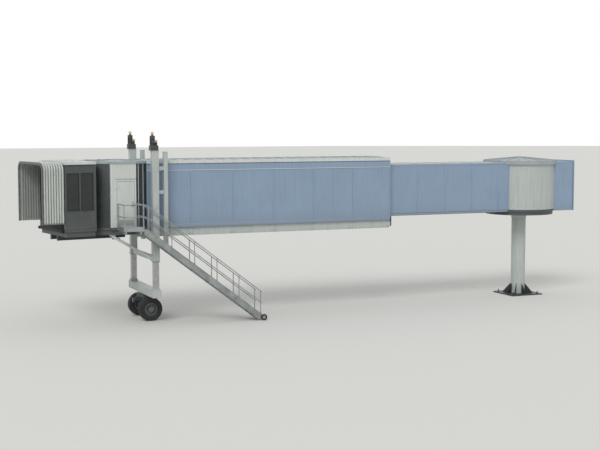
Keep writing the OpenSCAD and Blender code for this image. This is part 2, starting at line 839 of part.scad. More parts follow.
module stair_stringers() color("darkgray") translate([0, -stair_mid_y, 0]) both_sides()
    translate([0, -stair_w / 2, 0])
        rotate([90, 0, 0])
            difference() {
                linear_extrude(stringer_t)
                    stringer_side(0);
                translate([0, 0, stringer_web])
                    linear_extrude(stringer_t)
                        stringer_side(stringer_web + 4);
                translate([stair_foot_x + 100, roller_r, -1])
                    cylinder(h = stringer_t + 2, r = stair_axle_r + pin_gap);
            }

// Folded pans, open below, between the stringers
module stair_treads() color("gray")
    for (i = [1 : riser_n - 1]) {
        from = [stair_x + (i - 1) * going + 5, -stair_mid_y - stair_w / 2 + seat,
            stair_top_z - i * riser - tread_h];
        to = [stair_x + i * going + 25, -stair_mid_y + stair_w / 2 - seat, stair_top_z - i * riser];
        difference() {
            block(from, to);
            block(from + [tread_t, tread_t, -1], to - [tread_t, tread_t, tread_t]);
        }
    }

// Handrails on both sides of the flight and round the landing
module stair_rails() color("gray") {
    slope = riser / going;
    post_n = 5;
    x0 = cab_x - door_front + 40;
    out_y = -stair_mid_y - stair_w / 2 - stringer_t / 2;
    in_y = -stair_mid_y + stair_w / 2 + stringer_t / 2;
    end_x = stair_foot_x - 60;
    for (y = [out_y, in_y]) {
        for (i = [0 : post_n]) {
            x = stair_x + 200 + i * (end_x - stair_x - 200) / post_n;
            z = stair_top_z + 10 - (x - stair_x - 150) * slope;
            tube([x, y, z + rail_d / 2 * slope + seat], [x, y, z + rail_top - 60], rail_d);
        }
        for (h = [rail_top - 60, rail_top / 2 - 30])
            tube([stair_x + 150, y, stair_top_z + 10 + h],
                [end_x + 60, y, stair_top_z + 10 + h - (end_x + 60 - stair_x - 150) * slope], rail_d);
    }
    for (x = [x0, stair_x - 40])
        tube([x, out_y + 35, stair_top_z], [x, out_y + 35, stair_top_z + rail_top], rail_d);
    tube([x0, -door_wall_y - 60, stair_top_z], [x0, -door_wall_y - 60, stair_top_z + rail_top],
        rail_d);
    for (h = [rail_top, rail_top / 2]) {
        tube([x0, out_y + 35, stair_top_z + h], [stair_x - 40, out_y + 35, stair_top_z + h], rail_d);
        tube([x0, out_y + 35, stair_top_z + h], [x0, -door_wall_y - 60, stair_top_z + h], rail_d);
    }
}

module stair_rollers() color("black") {
    wheel_x = stair_foot_x + 100;
    for (s = [-1, 1])
        translate([wheel_x, -stair_mid_y + s * (stair_w / 2 + stringer_t + seat + 30), roller_r])
            rotate([90, 0, 0])
                cylinder(h = 60, r = roller_r, center = true);
    translate([wheel_x, -stair_mid_y, roller_r])
        rotate([90, 0, 0])
            cylinder(h = stair_w + 2 * stringer_t + 40, r = stair_axle_r, center = true);
}

// Cab, drawn looking towards -X about its own turning axis

// Plan of the cab: the broad front and the narrower way in from the rotunda
module cab_plan(edge) {
    difference() {
        union() {
            translate([-cab_front, -cab_half_w - edge])
                square([cab_front - cab_rear, 2 * (cab_half_w + edge)]);
            translate([-cab_rear - 1, -throat_out])
                square([cab_rear, 2 * throat_out]);
        }
        circle(r = disc_r + disc_gap, $fn = wide_fn);
        translate([0, -2 * cab_half_w])
            square(4 * cab_half_w);
    }
}

module cab_floor() color("slategray") on_cab() {
    plate(floor_z - floor_t, floor_z)
        cab_plan(0);
    both_sides()
        block([-cab_front + 60, -cab_half_w + 60, ring_z],
            [-cab_rear - 40, -cab_half_w + 220, floor_z - floor_t]);
    for (x = [-cab_front + 60, -disc_r - 110])
        block([x, -cab_half_w + 60, ring_z], [x + 140, cab_half_w - 60, floor_z - floor_t]);
}

// Two arms under the fixed rotunda, from the pivot hub out to the cab's floor frame
module cab_turn_frame() color("dimgray") on_cab() {
    arm_z = arm_top_z - arm_h;
    arm_y = hub_r - 70;
    difference() {
        union() {
            both_sides()
                block([-cab_front + 80, arm_y, arm_z], [260, arm_y + arm_w, arm_top_z]);
            translate([0, 0, arm_z])
                cylinder(h = arm_h, r = hub_r);
            block([-disc_r + 260, -arm_y - 10, arm_z], [-disc_r + 380, arm_y + 10, arm_top_z]);
        }
        translate([0, 0, arm_z - 1])
            cylinder(h = arm_h + 2, r = pivot_r + pin_gap);
    }
    both_sides()
        for (x = [-cab_front + 90, -disc_r - 90])
            block([x, arm_y + 10, arm_top_z], [x + 100, arm_y + arm_w - 10, ring_z - seat]);
}

// Sill panels, posts and header bands on both sides, and the solid rear walls
module cab_walls() color("dimgray") on_cab() both_sides() {
    out_y = -cab_half_w;
    in_y = out_y + cab_wall_t;
    back_x = -cab_rear - cab_wall_t;
    head_z = ceiling_z - header_h;
    mid_x = (-cab_front + back_x) / 2;
    block([-cab_front, out_y, floor_z], [back_x, in_y, floor_z + sill_h]);
    block([-cab_front, out_y, head_z], [back_x, in_y, ceiling_z]);
    for (x = [-cab_front, mid_x - cab_post_w / 2, back_x - cab_post_w])
        block([x, out_y, floor_z], [x + cab_post_w, in_y, ceiling_z]);
    block([-cab_front, out_y, floor_z], [-cab_front + 60, -canopy_half + 12, ceiling_z]);
    block([back_x, out_y, floor_z], [-cab_rear, -throat_out + cab_wall_t, ceiling_z]);
    block([-cab_rear - 1, -throat_out, floor_z],
        [-sqrt(pow(disc_r + disc_gap, 2) - throat_half * throat_half), -throat_half, ceiling_z]);
}

module cab_windows() color([0.1, 0.12, 0.14]) on_cab() both_sides() {
    glass_y = -cab_half_w + cab_wall_t / 2;
    back_x = -cab_rear - cab_wall_t;
    mid_x = (-cab_front + back_x) / 2;
    for (span = [[-cab_front + cab_post_w, mid_x - cab_post_w / 2],
            [mid_x + cab_post_w / 2, back_x - cab_post_w]])
        block([span[0] + seat, glass_y - glass_t / 2, floor_z + sill_h + seat],
            [span[1] - seat, glass_y + glass_t / 2, ceiling_z - header_h - seat]);
}

module cab_roof() color("silver") on_cab() {
    plate(ceiling_z, cab_roof_z)
        cab_plan(40);
    along_x(-cab_front, -disc_r - disc_gap)
        polygon([
            [-cab_half_w, cab_roof_z],
            [cab_half_w, cab_roof_z],
            [0, cab_roof_z + roof_crown]
        ]);
}

module cab_bumper() color("black") on_cab() {
    block([-cab_front - 40, -cab_half_w + 120, floor_z - floor_t - 40],
        [-cab_front - seat, cab_half_w - 120, floor_z - 10]);
    difference() {
        translate([-cab_front - 40 - bumper_out + 60, 0, floor_z - floor_t / 2 - bumper_h / 2 - 20])
            linear_extrude(bumper_h)
                union() {
                    translate([0, -cab_half_w + 200])
                        square([bumper_out - 60, 2 * cab_half_w - 400]);
                    for (s = [-1, 1])
                        translate([0, s * (cab_half_w - 200)])
                            circle(r = 60);
                }
        block([-cab_front - 40 - seat, -cab_half_w, floor_z - 400], [0, cab_half_w, floor_z + 100]);
    }
}

// Zigzag outline of the folds: x runs forward from the cab, y outward from the inner line
function fold_line(out) = [
    for (i = [0 : 2 * fold_n])
        [-i * fold_pitch / 2, (i % 2 == 0 ? 0 : fold_depth - cloth_t) + out]
];

module fold_profile() {
    inner = fold_line(0);
    outer = fold_line(cloth_t);
    polygon(concat(inner, [for (i = [len(outer) - 1 : -1 : 0]) outer[i]]));
}

// Folded hood: two upright sides, two rounded top corners and the flat top
module canopy_bellows() color("lightgray") on_cab() translate([-cab_front - seat, 0, 0]) {
    side_y = canopy_half - corner_r;
    top_z = canopy_top_z - corner_r;
    hem_z = floor_z + canopy_hem;
    both_sides() {
        translate([0, -side_y - corner_r, hem_z])
            linear_extrude(top_z - hem_z)
                mirror([0, 1])
                    fold_profile();
        translate([0, -side_y, top_z])
            rotate([0, -90, 0])
                rotate([0, 0, -90])
                    rotate_extrude(angle = 90)
                        translate([corner_r, 0])
                            rotate(90)
                                mirror([1, 0])
                                    mirror([0, 1])
                                        fold_profile();
    }
    translate([0, side_y, top_z + corner_r])
        rotate([90, 0, 0])
            linear_extrude(2 * side_y)
                fold_profile();
}

module canopy_hoop() color("dimgray") on_cab() {
    x1 = -cab_front - 2 * seat - canopy_len;
    half = canopy_half + fold_depth;
    translate([x1, 0, 0])
        rotate([90, 0, -90])
            linear_extrude(hoop_t)
                difference() {
                    hoop_outline(half, canopy_top_z + fold_depth, corner_r + fold_depth);
                    hoop_outline(canopy_half - 12, canopy_top_z - 12, corner_r - 12);
                }
}

// Upright hoop shape, open below: half width, top height and corner radius
module hoop_outline(half, top, r) {
    base = floor_z + canopy_hem - (half < canopy_half ? 1 : 0);
    union() {
        translate([-half, base])
            square([2 * half, top - r - base]);
        translate([-half + r, base])
            square([2 * (half - r), top - base]);
        for (s = [-1, 1])
            translate([s * (half - r), top - r])
                circle(r = r);
    }
}

// Bogie and wheels

module bogie_frame() color("dimgray") translate([column_x, 0, 0]) {
    slew_h = 60;
    bolster_w = wheel_y - tyre_w / 2 - 110;
    translate([0, 0, cross_z - seat - slew_h])
        cylinder(h = slew_h, r = slew_r);
    translate([0, 0, cross_z - seat - 10])
        cylinder(h = crossbeam_h - 60, r = 70);
    block([-220, -bolster_w, axle_z + 230], [220, bolster_w, cross_z - seat - slew_h]);
    both_sides()
        block([-150, -bolster_w, axle_z - 160], [150, -bolster_w + 90, axle_z + 230]);
    translate([0, 0, axle_z])
        rotate([90, 0, 0])
            cylinder(h = 2 * bolster_w, r = 120, center = true);
    translate([0, 0, axle_z])
        rotate([90, 0, 0])
            cylinder(h = 2 * (wheel_y + tyre_w / 2 - 60), r = axle_r, center = true);
}

module drive_motors() color("black") translate([column_x, 0, 0])
    for (s = [-1, 1])
        translate([s * (220 + seat), s * 300, axle_z + 380])
            rotate([0, s * 90, 0]) {
                cylinder(h = 120, r = 125);
                translate([0, 0, 120])
                    cylinder(h = 260, r = 105);
                translate([0, 0, 380])
                    cylinder(h = 70, r = 115);
            }

// Tyre section: rounded shoulders, drawn with the axle along Z
module tyre() {
    shoulder = 70;
    half = tyre_w / 2;
    rotate([90, 0, 0])
        rotate_extrude()
            union() {
                translate([rim_r + seat, -half + 20])
                    square([tyre_r - shoulder - rim_r, 2 * half - 40]);
                translate([rim_r + 40, -half + shoulder])
                    square([tyre_r - rim_r - 40, 2 * (half - shoulder)]);
                for (s = [-1, 1])
                    translate([tyre_r - shoulder, s * (half - shoulder)])
                        circle(r = shoulder);
            }
}

// Rim with a dished disc and a hub on the stub axle
module wheel_hub(out) {
    half = tyre_w / 2 - 30;
    rotate([90 * out, 0, 0])
        difference() {
            union() {
                difference() {
                    cylinder(h = 2 * half, r = rim_r, center = true);
                    translate([0, 0, 20])
                        cylinder(h = half, r1 = rim_r - 90, r2 = rim_r - 30);
                    translate([0, 0, -half - 1])
                        cylinder(h = half - 20, r = rim_r - 30);
                }
                translate([0, 0, -half])
                    cylinder(h = 2 * half + 20, r = axle_r + 60);
            }
            translate([0, 0, -half - 1])
                cylinder(h = 2 * half - 20, r = axle_r + pin_gap);
        }
}

module near_tyre() color("black") translate([column_x, -wheel_y, axle_z]) tyre();

module far_tyre() color("black") translate([column_x, wheel_y, axle_z]) tyre();

module near_hub() color("silver") translate([column_x, -wheel_y, axle_z]) wheel_hub(1);

module far_hub() color("silver") translate([column_x, wheel_y, axle_z]) wheel_hub(-1);

pedestal_base();
pedestal_column();
terminal_rotunda_floor();
terminal_rotunda_near_wall();
terminal_rotunda_far_wall();
terminal_rotunda_roof();
terminal_portal();
inner_tunnel_floor();
inner_tunnel_near_wall();
inner_tunnel_far_wall();
inner_tunnel_roof();
outer_tunnel_floor();
outer_tunnel_near_wall();
outer_tunnel_far_wall();
outer_tunnel_roof();
roof_edge_trims();
underframe();
tunnel_end_frame();
tunnel_rollers();
cab_rotunda_floor();
cab_rotunda_roof();
door_wall();
service_door();
slat_panels();
near_curtain();
far_curtain();
lift_outer_columns();
lift_inner_columns();
lift_masts();
lift_motors();
column_lamps();
column_tie_beam();
rotunda_brace();
carriage_crossbeam();
landing();
stair_stringers();
stair_treads();
stair_rails();
stair_rollers();
cab_floor();
cab_turn_frame();
cab_walls();
cab_windows();
cab_roof();
cab_bumper();
canopy_bellows();
canopy_hoop();
bogie_frame();
drive_motors();
near_tyre();
near_hub();
far_tyre();
far_hub();
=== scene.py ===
import math

import bmesh
import bpy
from mathutils import Matrix, Vector, noise


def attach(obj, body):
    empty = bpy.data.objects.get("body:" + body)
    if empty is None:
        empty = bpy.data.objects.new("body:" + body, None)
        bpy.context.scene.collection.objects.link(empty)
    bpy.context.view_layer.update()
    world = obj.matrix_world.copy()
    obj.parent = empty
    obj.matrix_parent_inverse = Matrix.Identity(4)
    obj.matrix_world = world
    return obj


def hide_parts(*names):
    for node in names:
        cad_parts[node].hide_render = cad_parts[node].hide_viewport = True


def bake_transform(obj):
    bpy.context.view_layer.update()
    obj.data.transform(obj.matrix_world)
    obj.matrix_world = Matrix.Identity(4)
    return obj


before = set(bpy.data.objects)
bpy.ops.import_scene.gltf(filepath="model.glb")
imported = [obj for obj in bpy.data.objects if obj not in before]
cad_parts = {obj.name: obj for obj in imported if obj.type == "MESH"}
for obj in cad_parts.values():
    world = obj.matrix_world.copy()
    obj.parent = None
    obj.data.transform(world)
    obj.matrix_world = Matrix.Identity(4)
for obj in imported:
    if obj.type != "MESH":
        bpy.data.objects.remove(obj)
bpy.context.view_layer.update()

# Pedestal.
# A steel tube welded to a ribbed base plate and held by four anchor bolts in the ground.
# The base is near black enamel, the tube light grey enamel with rain runs down it.


def linear(code):
    """The linear colour of an sRGB hex value such as 8FA3B0."""
    channels = [int(code[i : i + 2], 16) / 255 for i in (0, 2, 4)]
    return [c / 12.92 if c <= 0.04045 else ((c + 0.055) / 1.055) ** 2.4 for c in channels] + [1]


def darker(colour, share):
    """A linear colour brought down to a share of itself."""
    return [c * share for c in colour[:3]] + [1]


def join(tree, node, inputs):
    """Sets a node's inputs to values, or joins them to outputs or to a node's first output."""
    for name, value in inputs.items():
        if isinstance(value, bpy.types.Node):
            value = next(output for output in value.outputs if output.enabled)
        if isinstance(value, bpy.types.NodeSocket):
            tree.links.new(value, node.inputs[name])
        else:
            node.inputs[name].default_value = value


def add_node(tree, kind, inputs=None, **settings):
    """Adds a shader node with its settings and its inputs."""
    node = tree.nodes.new("ShaderNode" + kind)
    for name, value in settings.items():
        setattr(node, name, value)
    join(tree, node, inputs or {})
    return node


def new_finish(name):
    """A new material with its node tree, its shader and the object coordinates."""
    material = bpy.data.materials.new(name)
    material.use_nodes = True
    tree = material.node_tree
    place = add_node(tree, "TexCoord").outputs["Object"]
    return material, tree, tree.nodes["Principled BSDF"], place


def sprayed_enamel(
    name, colour, dirt, roughness=0.42, dirt_share=0.4, dent_mm=0.0, low_edge=None, run_mm=70
):
    """Enamel sprayed on steel: a satin coat, clouded by age, with dust in its rain runs."""
    material, tree, shader, place = new_finish(name)
    # Rain runs are run_mm wide and 17 times as long; the clouding is 1.4 m across
    drawn_out = add_node(tree, "Mapping", {"Vector": place, "Scale": (1, 1, 0.06)})
    runs = add_node(tree, "TexNoise", {"Vector": drawn_out, "Scale": 1000 / run_mm, "Detail": 4.0})
    clouds = add_node(tree, "TexNoise", {"Vector": place, "Scale": 1000 / 1400, "Detail": 3.0})
    wash = {"Value": runs, "From Min": 0.42, "From Max": 0.85, "To Max": dirt_share}
    share = add_node(tree, "MapRange", wash)
    if low_edge is not None:
        # Splashed dirt fades out 700 mm above the lower edge
        height = add_node(tree, "SeparateXYZ", {"Vector": place}).outputs["Z"]
        fade = {"From Min": low_edge, "From Max": low_edge + 0.7, "To Min": 0.3, "To Max": 0.0}
        splash = add_node(tree, "MapRange", {"Value": height, **fade})
        share = add_node(tree, "Math", {0: share, 1: splash}, operation="MAXIMUM")
    fresh = linear(colour)
    tone = add_node(tree, "Mix", {0: clouds, 6: fresh, 7: darker(fresh, 0.82)}, data_type="RGBA")
    soiled = add_node(tree, "Mix", {0: share, 6: tone, 7: linear(dirt)}, data_type="RGBA")
    worn = {"To Min": roughness - 0.07, "To Max": roughness + 0.16}
    gloss = add_node(tree, "MapRange", {"Value": runs, "From Min": 0.3, "From Max": 0.8, **worn})
    # Orange peel is 5 mm across, and thin sheet is dented 900 mm across
    peel = add_node(tree, "TexNoise", {"Vector": place, "Scale": 1000 / 5})
    bump = add_node(tree, "Bump", {"Height": peel, "Strength": 0.08, "Distance": 0.001})
    if dent_mm:
        dents = add_node(tree, "TexNoise", {"Vector": place, "Scale": 1000 / 900, "Detail": 1.0})
        sheet = {"Height": dents, "Strength": 0.7, "Distance": dent_mm / 1000, "Normal": bump}
        bump = add_node(tree, "Bump", sheet)
    join(tree, shader, {"Base Color": soiled, "Roughness": gloss, "Normal": bump})
    join(tree, shader, {"Coat Weight": 0.12, "Coat Roughness": 0.3})
    return material


def finish_nodes(material, *names):
    """Gives CAD nodes their material."""
    for name in names:
        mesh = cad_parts[name].data
        mesh.materials.clear()
        mesh.materials.append(material)


def add_bar(bm, start, end, radius, sides=12, tip=None):
    """A round bar from start to end, or a cone where its tip has another radius."""
    start, end = Vector(start), Vector(end)
    turn = (end - start).to_track_quat("Z", "Y").to_matrix().to_4x4()
    bmesh.ops.create_cone(
        bm,
        cap_ends=True,
        segments=sides,
        radius1=radius,
        radius2=radius if tip is None else tip,
        depth=(end - start).length,
        matrix=Matrix.Translation((start + end) / 2) @ turn,
    )


def add_bolt(bm, seat, axis, across, turn=Matrix()):
    """A hexagon bolt head on a washer, standing out from its seat along axis."""
    seat = turn @ Vector(seat)
    axis = (turn.to_3x3() @ Vector(axis)).normalized()
    washer = seat + axis * across * 0.15
    add_bar(bm, seat, washer, across * 0.9, 12)
    add_bar(bm, washer, seat + axis * across * 0.8, across * 0.57, 6)


def add_bolt_ring(bm, place, radius, count, across, up=1, first=0.0):
    """Bolts round a circle that lies flat in the matrix place, pointing up or down its axis."""
    for i in range(count):
        a = math.tau * (i + first) / count
        seat = (radius * math.cos(a), radius * math.sin(a), 0)
        add_bolt(bm, seat, (0, 0, up), across, place)


def add_turned(bm, outline, centre=(0, 0, 0), steps=64, start_deg=0.0, turn_deg=360.0):
    """Turns a closed outline of (radius, height) points about an upright axis."""
    centre = Vector(centre)
    first = Matrix.Rotation(math.radians(start_deg), 3, "Z")
    ring = [bm.verts.new(centre + first @ Vector((r, 0, z))) for r, z in outline]
    edges = [bm.edges.new((a, b)) for a, b in zip(ring, ring[1:] + ring[:1])]
    whole = turn_deg == 360
    spun = bmesh.ops.spin(
        bm,
        geom=ring + edges,
        cent=centre,
        axis=(0, 0, 1),
        angle=math.radians(turn_deg),
        steps=steps,
        use_merge=whole,
    )
    if not whole:
        bm.faces.new(ring)
        last = [g for g in spun["geom_last"] if isinstance(g, bmesh.types.BMEdge)]
        bmesh.ops.edgenet_fill(bm, edges=last)


def add_ring(bm, inner, outer, low, high, *turning):
    """A ring of rectangular section between two radii and two heights."""
    add_turned(bm, [(inner, low), (outer, low), (outer, high), (inner, high)], *turning)


def fit_piece(name, bm, body, material, soft_deg=40, turn=None):
    """Closes a shape and makes it a piece that rides on a body and has a material slot."""
    if turn is not None:
        bmesh.ops.transform(bm, matrix=turn, verts=bm.verts)
    bmesh.ops.recalc_face_normals(bm, faces=bm.faces)
    mesh = bpy.data.meshes.new(name)
    bm.to_mesh(mesh)
    bm.free()
    mesh.materials.append(material)
    mesh.shade_smooth()
    mesh.set_sharp_from_angle(angle=math.radians(soft_deg))
    piece = bpy.data.objects.new(name, mesh)
    bpy.context.scene.collection.objects.link(piece)
    if body:
        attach(piece, body)
    return piece


black_enamel = sprayed_enamel("near_black_enamel", "2A2D30", "5B564C", 0.5, 0.35)
grey_enamel = sprayed_enamel("light_grey_enamel", "BBC2BF", "7F7F78", 0.42, 0.35, 0.8)
finish_nodes(black_enamel, "pedestal_base")
finish_nodes(grey_enamel, "pedestal_column")

PLATE_TOP, HEAD_FLANGE_Z = 0.06, 4.5
ANCHOR, PEDESTAL_R = 0.75, 0.38
bm = bmesh.new()
nut_foot = PLATE_TOP + 0.012
for x in (-ANCHOR, ANCHOR):
    for y in (-ANCHOR, ANCHOR):
        add_bar(bm, (x, y, PLATE_TOP), (x, y, nut_foot), 0.062, 24)
        add_bar(bm, (x, y, nut_foot), (x, y, PLATE_TOP + 0.055), 0.044, 6)
        add_bar(bm, (x, y, 0.002), (x, y, PLATE_TOP + 0.12), 0.024, 16)
add_bolt_ring(bm, Matrix.Translation((0, 0, HEAD_FLANGE_Z)), 0.49, 16, 0.024, -1, 0.5)
fit_piece("pedestal_bolts", bm, "terminal", black_enamel)

# The foot's weld is a fillet, and the two seam welds stand 8 and 4 mm out of the tube
bm = bmesh.new()
sunk, fillet_top = PEDESTAL_R - 0.01, PLATE_TOP + 0.025
fillet = [(sunk, PLATE_TOP), (PEDESTAL_R + 0.025, PLATE_TOP)]
fillet += [(PEDESTAL_R + 0.002, fillet_top), (sunk, fillet_top)]
add_turned(bm, fillet)
add_ring(bm, sunk, PEDESTAL_R + 0.008, 4.1, 4.12)
add_ring(bm, sunk, PEDESTAL_R + 0.004, 2.2, 2.215)
fit_piece("pedestal_welds", bm, "terminal", grey_enamel)

# Terminal rotunda.
# A round room of curved sheet panels on a floor disc, under a low conical roof. Upright
# strips cover the joints between panels, and the roof's folded seams run down to its eaves.

# Dust settles on the roofs in patches 420 mm across
roof_coat = sprayed_enamel("coated_roof_sheet", "A3ADB0", "7C7E78", 0.5, 0.4, 1.2, run_mm=420)
floor_primer = sprayed_enamel("floor_plate_primer", "4E5457", "39382F", 0.55, 0.3)
finish_nodes(grey_enamel, "terminal_rotunda_near_wall", "terminal_rotunda_far_wall")
finish_nodes(roof_coat, "terminal_rotunda_roof")
finish_nodes(floor_primer, "terminal_rotunda_floor")


def add_block(bm, corner, opposite, turn=None, edge=0.0):
    """A block between opposite corners, placed by the matrix turn, its edges rounded by edge."""
    corner, opposite = Vector(corner), Vector(opposite)
    size = [abs(length) for length in opposite - corner]
    place = Matrix.Translation((corner + opposite) / 2) @ Matrix.Diagonal((*size, 1))
    verts = bmesh.ops.create_cube(bm, size=1, matrix=(turn or Matrix()) @ place)["verts"]
    if edge:
        edges = list({e for v in verts for e in v.link_edges})
        bmesh.ops.bevel(
            bm, geom=edges, offset=edge, affect="EDGES", segments=2, profile=0.5, material=-1
        )


HALL_R, EAVE_R, CAP_R = 1.85, 1.94, 0.25
HALL_FLOOR, HALL_CEILING, EAVE_Z = 4.68, 7.08, 7.25
HALL_RISE = 0.16
# Each wall runs between these bearings from the tunnel's direction
WALL_FROM, WALL_TO = 41, 135
bm = bmesh.new()
for side in (-1, 1):
    for i in range(8):
        turn = Matrix.Rotation(math.radians(180 + side * (42.6 + i * 12.9)), 4, "Z")
        low = (HALL_R - 0.004, -0.025, HALL_FLOOR + 0.02)
        add_block(bm, low, (HALL_R + 0.012, 0.025, HALL_CEILING - 0.01), turn, 0.004)
    around = 48, 180 + (WALL_FROM if side > 0 else -WALL_TO), WALL_TO - WALL_FROM
    for out, low, high in (
        (0.02, HALL_FLOOR, HALL_FLOOR + 0.09), (0.016, HALL_CEILING - 0.08, HALL_CEILING - 0.005)
    ):
        add_ring(bm, HALL_R, HALL_R + out, low, high, (0, 0, 0), *around)
fit_piece("rotunda_cover_strips", bm, "terminal", grey_enamel)

bm = bmesh.new()
add_ring(bm, EAVE_R, EAVE_R + 0.012, HALL_CEILING - 0.02, EAVE_Z + 0.012, (0, 0, 0), 96)
hall_crown = EAVE_Z + HALL_RISE
fall = Matrix.Rotation(math.atan2(HALL_RISE, EAVE_R - CAP_R), 4, "Y")
for i in range(20):
    turn = Matrix.Rotation(math.tau * i / 20, 4, "Z")
    turn @= Matrix.Translation((CAP_R - 0.01, 0, hall_crown)) @ fall
    add_block(bm, (0, -0.01, -0.004), (EAVE_R - CAP_R, 0.01, 0.026), turn)
cap = [(0.02, hall_crown - 0.01), (0.3, hall_crown - 0.01)]
cap += [(0.3, hall_crown + 0.025), (0.02, hall_crown + 0.06)]
add_turned(bm, cap, (0, 0, 0), 48)
fit_piece("rotunda_roof_seams", bm, "terminal", roof_coat)

# Portal.
# A short sleeve that joins the rotunda to the building. An angle frame is bolted round its
# end, with a rubber strip that closes the joint against the wall.

blue_enamel = sprayed_enamel("steel_blue_enamel", "8CA2BA", "75787A", 0.4, 0.32, 0.9, 4.5)


def moulded_rubber(name, colour, dust, roughness):
    """Moulded rubber: a dull black skin with a fine grain and pale dust in patches."""
    material, tree, shader, place = new_finish(name)
    # Dust lies in patches 120 mm across, and the mould's grain is 2 mm
    patches = add_node(tree, "TexNoise", {"Vector": place, "Scale": 1000 / 120, "Detail": 5.0})
    grain = add_node(tree, "TexNoise", {"Vector": place, "Scale": 1000 / 2})
    film = {"Value": patches, "From Min": 0.4, "From Max": 0.85, "To Max": 0.34}
    share = add_node(tree, "MapRange", film)
    tones = {0: share, 6: linear(colour), 7: linear(dust)}
    dusty = add_node(tree, "Mix", tones, data_type="RGBA")
    bump = add_node(tree, "Bump", {"Height": grain, "Strength": 0.3, "Distance": 0.001})
    join(tree, shader, {"Base Color": dusty, "Normal": bump, "Roughness": roughness})
    return material


black_rubber = moulded_rubber("black_moulded_rubber", "1C1D1E", "55534C", 0.75)
finish_nodes(blue_enamel, "terminal_portal")

PORTAL_X, PORTAL_HALF = 2.6, 1.3
PORTAL_LOW, PORTAL_HIGH = 4.56, 7.19
FLANGE_W = 0.05
flange_x0, flange_x1 = PORTAL_X - 0.05, PORTAL_X - 0.006
flange_y = PORTAL_HALF + FLANGE_W
bm = bmesh.new()
for side in (-1, 1):
    low = (flange_x0, side * PORTAL_HALF, PORTAL_LOW)
    add_block(bm, low, (flange_x1, side * flange_y, PORTAL_HIGH), edge=0.003)
    for i in range(8):
        seat = (flange_x0, side * (PORTAL_HALF + 0.026), PORTAL_LOW + 0.2 + i * 0.32)
        add_bolt(bm, seat, (-1, 0, 0), 0.022)
low = (flange_x0, -flange_y, PORTAL_HIGH)
add_block(bm, low, (flange_x1, flange_y, PORTAL_HIGH + FLANGE_W), edge=0.003)
for i in range(8):
    add_bolt(bm, (flange_x0, -1.19 + i * 0.34, PORTAL_HIGH + 0.025), (-1, 0, 0), 0.022)
fit_piece("portal_flange", bm, "terminal", blue_enamel)

# The strip lies in the middle of the flange
SEAL_IN, SEAL_OUT = 0.008, 0.042
bm = bmesh.new()
for side in (-1, 1):
    low = (flange_x1, side * (PORTAL_HALF + SEAL_IN), PORTAL_LOW)
    add_block(bm, low, (PORTAL_X, side * (PORTAL_HALF + SEAL_OUT), PORTAL_HIGH + 0.04))
low = (flange_x1, -PORTAL_HALF, PORTAL_HIGH + SEAL_IN)
add_block(bm, low, (PORTAL_X, PORTAL_HALF, PORTAL_HIGH + SEAL_OUT))
fit_piece("portal_seal", bm, "terminal", black_rubber)

# Inner tunnel.
# A flat-sided box of sheet steel that slides inside the outer tunnel. Low strips cover the
# joints of its wall and roof sheets and pass through the seal at the outer tunnel's end.

finish_nodes(blue_enamel, "inner_tunnel_near_wall", "inner_tunnel_far_wall")
finish_nodes(roof_coat, "inner_tunnel_roof")
finish_nodes(floor_primer, "inner_tunnel_floor")

INNER_HALF, INNER_END = 1.2, -13.65
INNER_ROOF, INNER_RISE = 7.19, 0.03
STRIP_HALF = 0.03
inner_fall = math.atan2(INNER_RISE, INNER_HALF)
bm = bmesh.new()
roof_bm = bmesh.new()
for side in (-1, 1):
    wall = side * INNER_HALF
    for i in range(8):
        x = -2.1 - i * 1.6
        high = (x + STRIP_HALF, wall + side * 0.011, 7.03)
        add_block(bm, (x - STRIP_HALF, wall, 4.7), high, edge=0.003)
        turn = Matrix.Translation((x, 0, INNER_ROOF)) @ Matrix.Rotation(-side * inner_fall, 4, "X")
        add_block(roof_bm, (-STRIP_HALF, 0, -0.002), (STRIP_HALF, wall, 0.009), turn)
    for start, low, high in ((-1.5, 4.58, 4.66), (-1.6, 7.05, 7.14)):
        add_block(bm, (INNER_END, wall, low), (start, wall + side * 0.008, high), edge=0.002)
fit_piece("inner_tunnel_ribs", bm, "terminal", blue_enamel)
fit_piece("inner_roof_strips", roof_bm, "terminal", roof_coat)

# Outer tunnel.
# Six bays of flat sheet between pressed ribs, with a frieze under the eaves and a light
# trim along the roof edge. Blind rivets hold the sheets to the ribs.

pale_trim = sprayed_enamel("pale_trim_enamel", "D6DBD9", "8C8E88", 0.38, 0.3)
finish_nodes(blue_enamel, "outer_tunnel_near_wall", "outer_tunnel_far_wall")
finish_nodes(roof_coat, "outer_tunnel_roof")
finish_nodes(floor_primer, "outer_tunnel_floor")
finish_nodes(pale_trim, "roof_edge_trims")

OUTER_HALF, OUTER_START, OUTER_END = 1.45, -8.6, -21.2
BAYS, BAY = 6, 2.1
FLOOR_Z, CEILING_Z, ROOF_Z = 4.5, 7.39, 7.5
ROOF_RISE = 0.04
FRIEZE_Z, TRIM_FACE = 7.04, 1.4803
RIB_OUT, RIB_W = 0.015, 0.07
rib_places = [min(OUTER_END + i * BAY, OUTER_START - RIB_W) for i in range(BAYS + 1)]

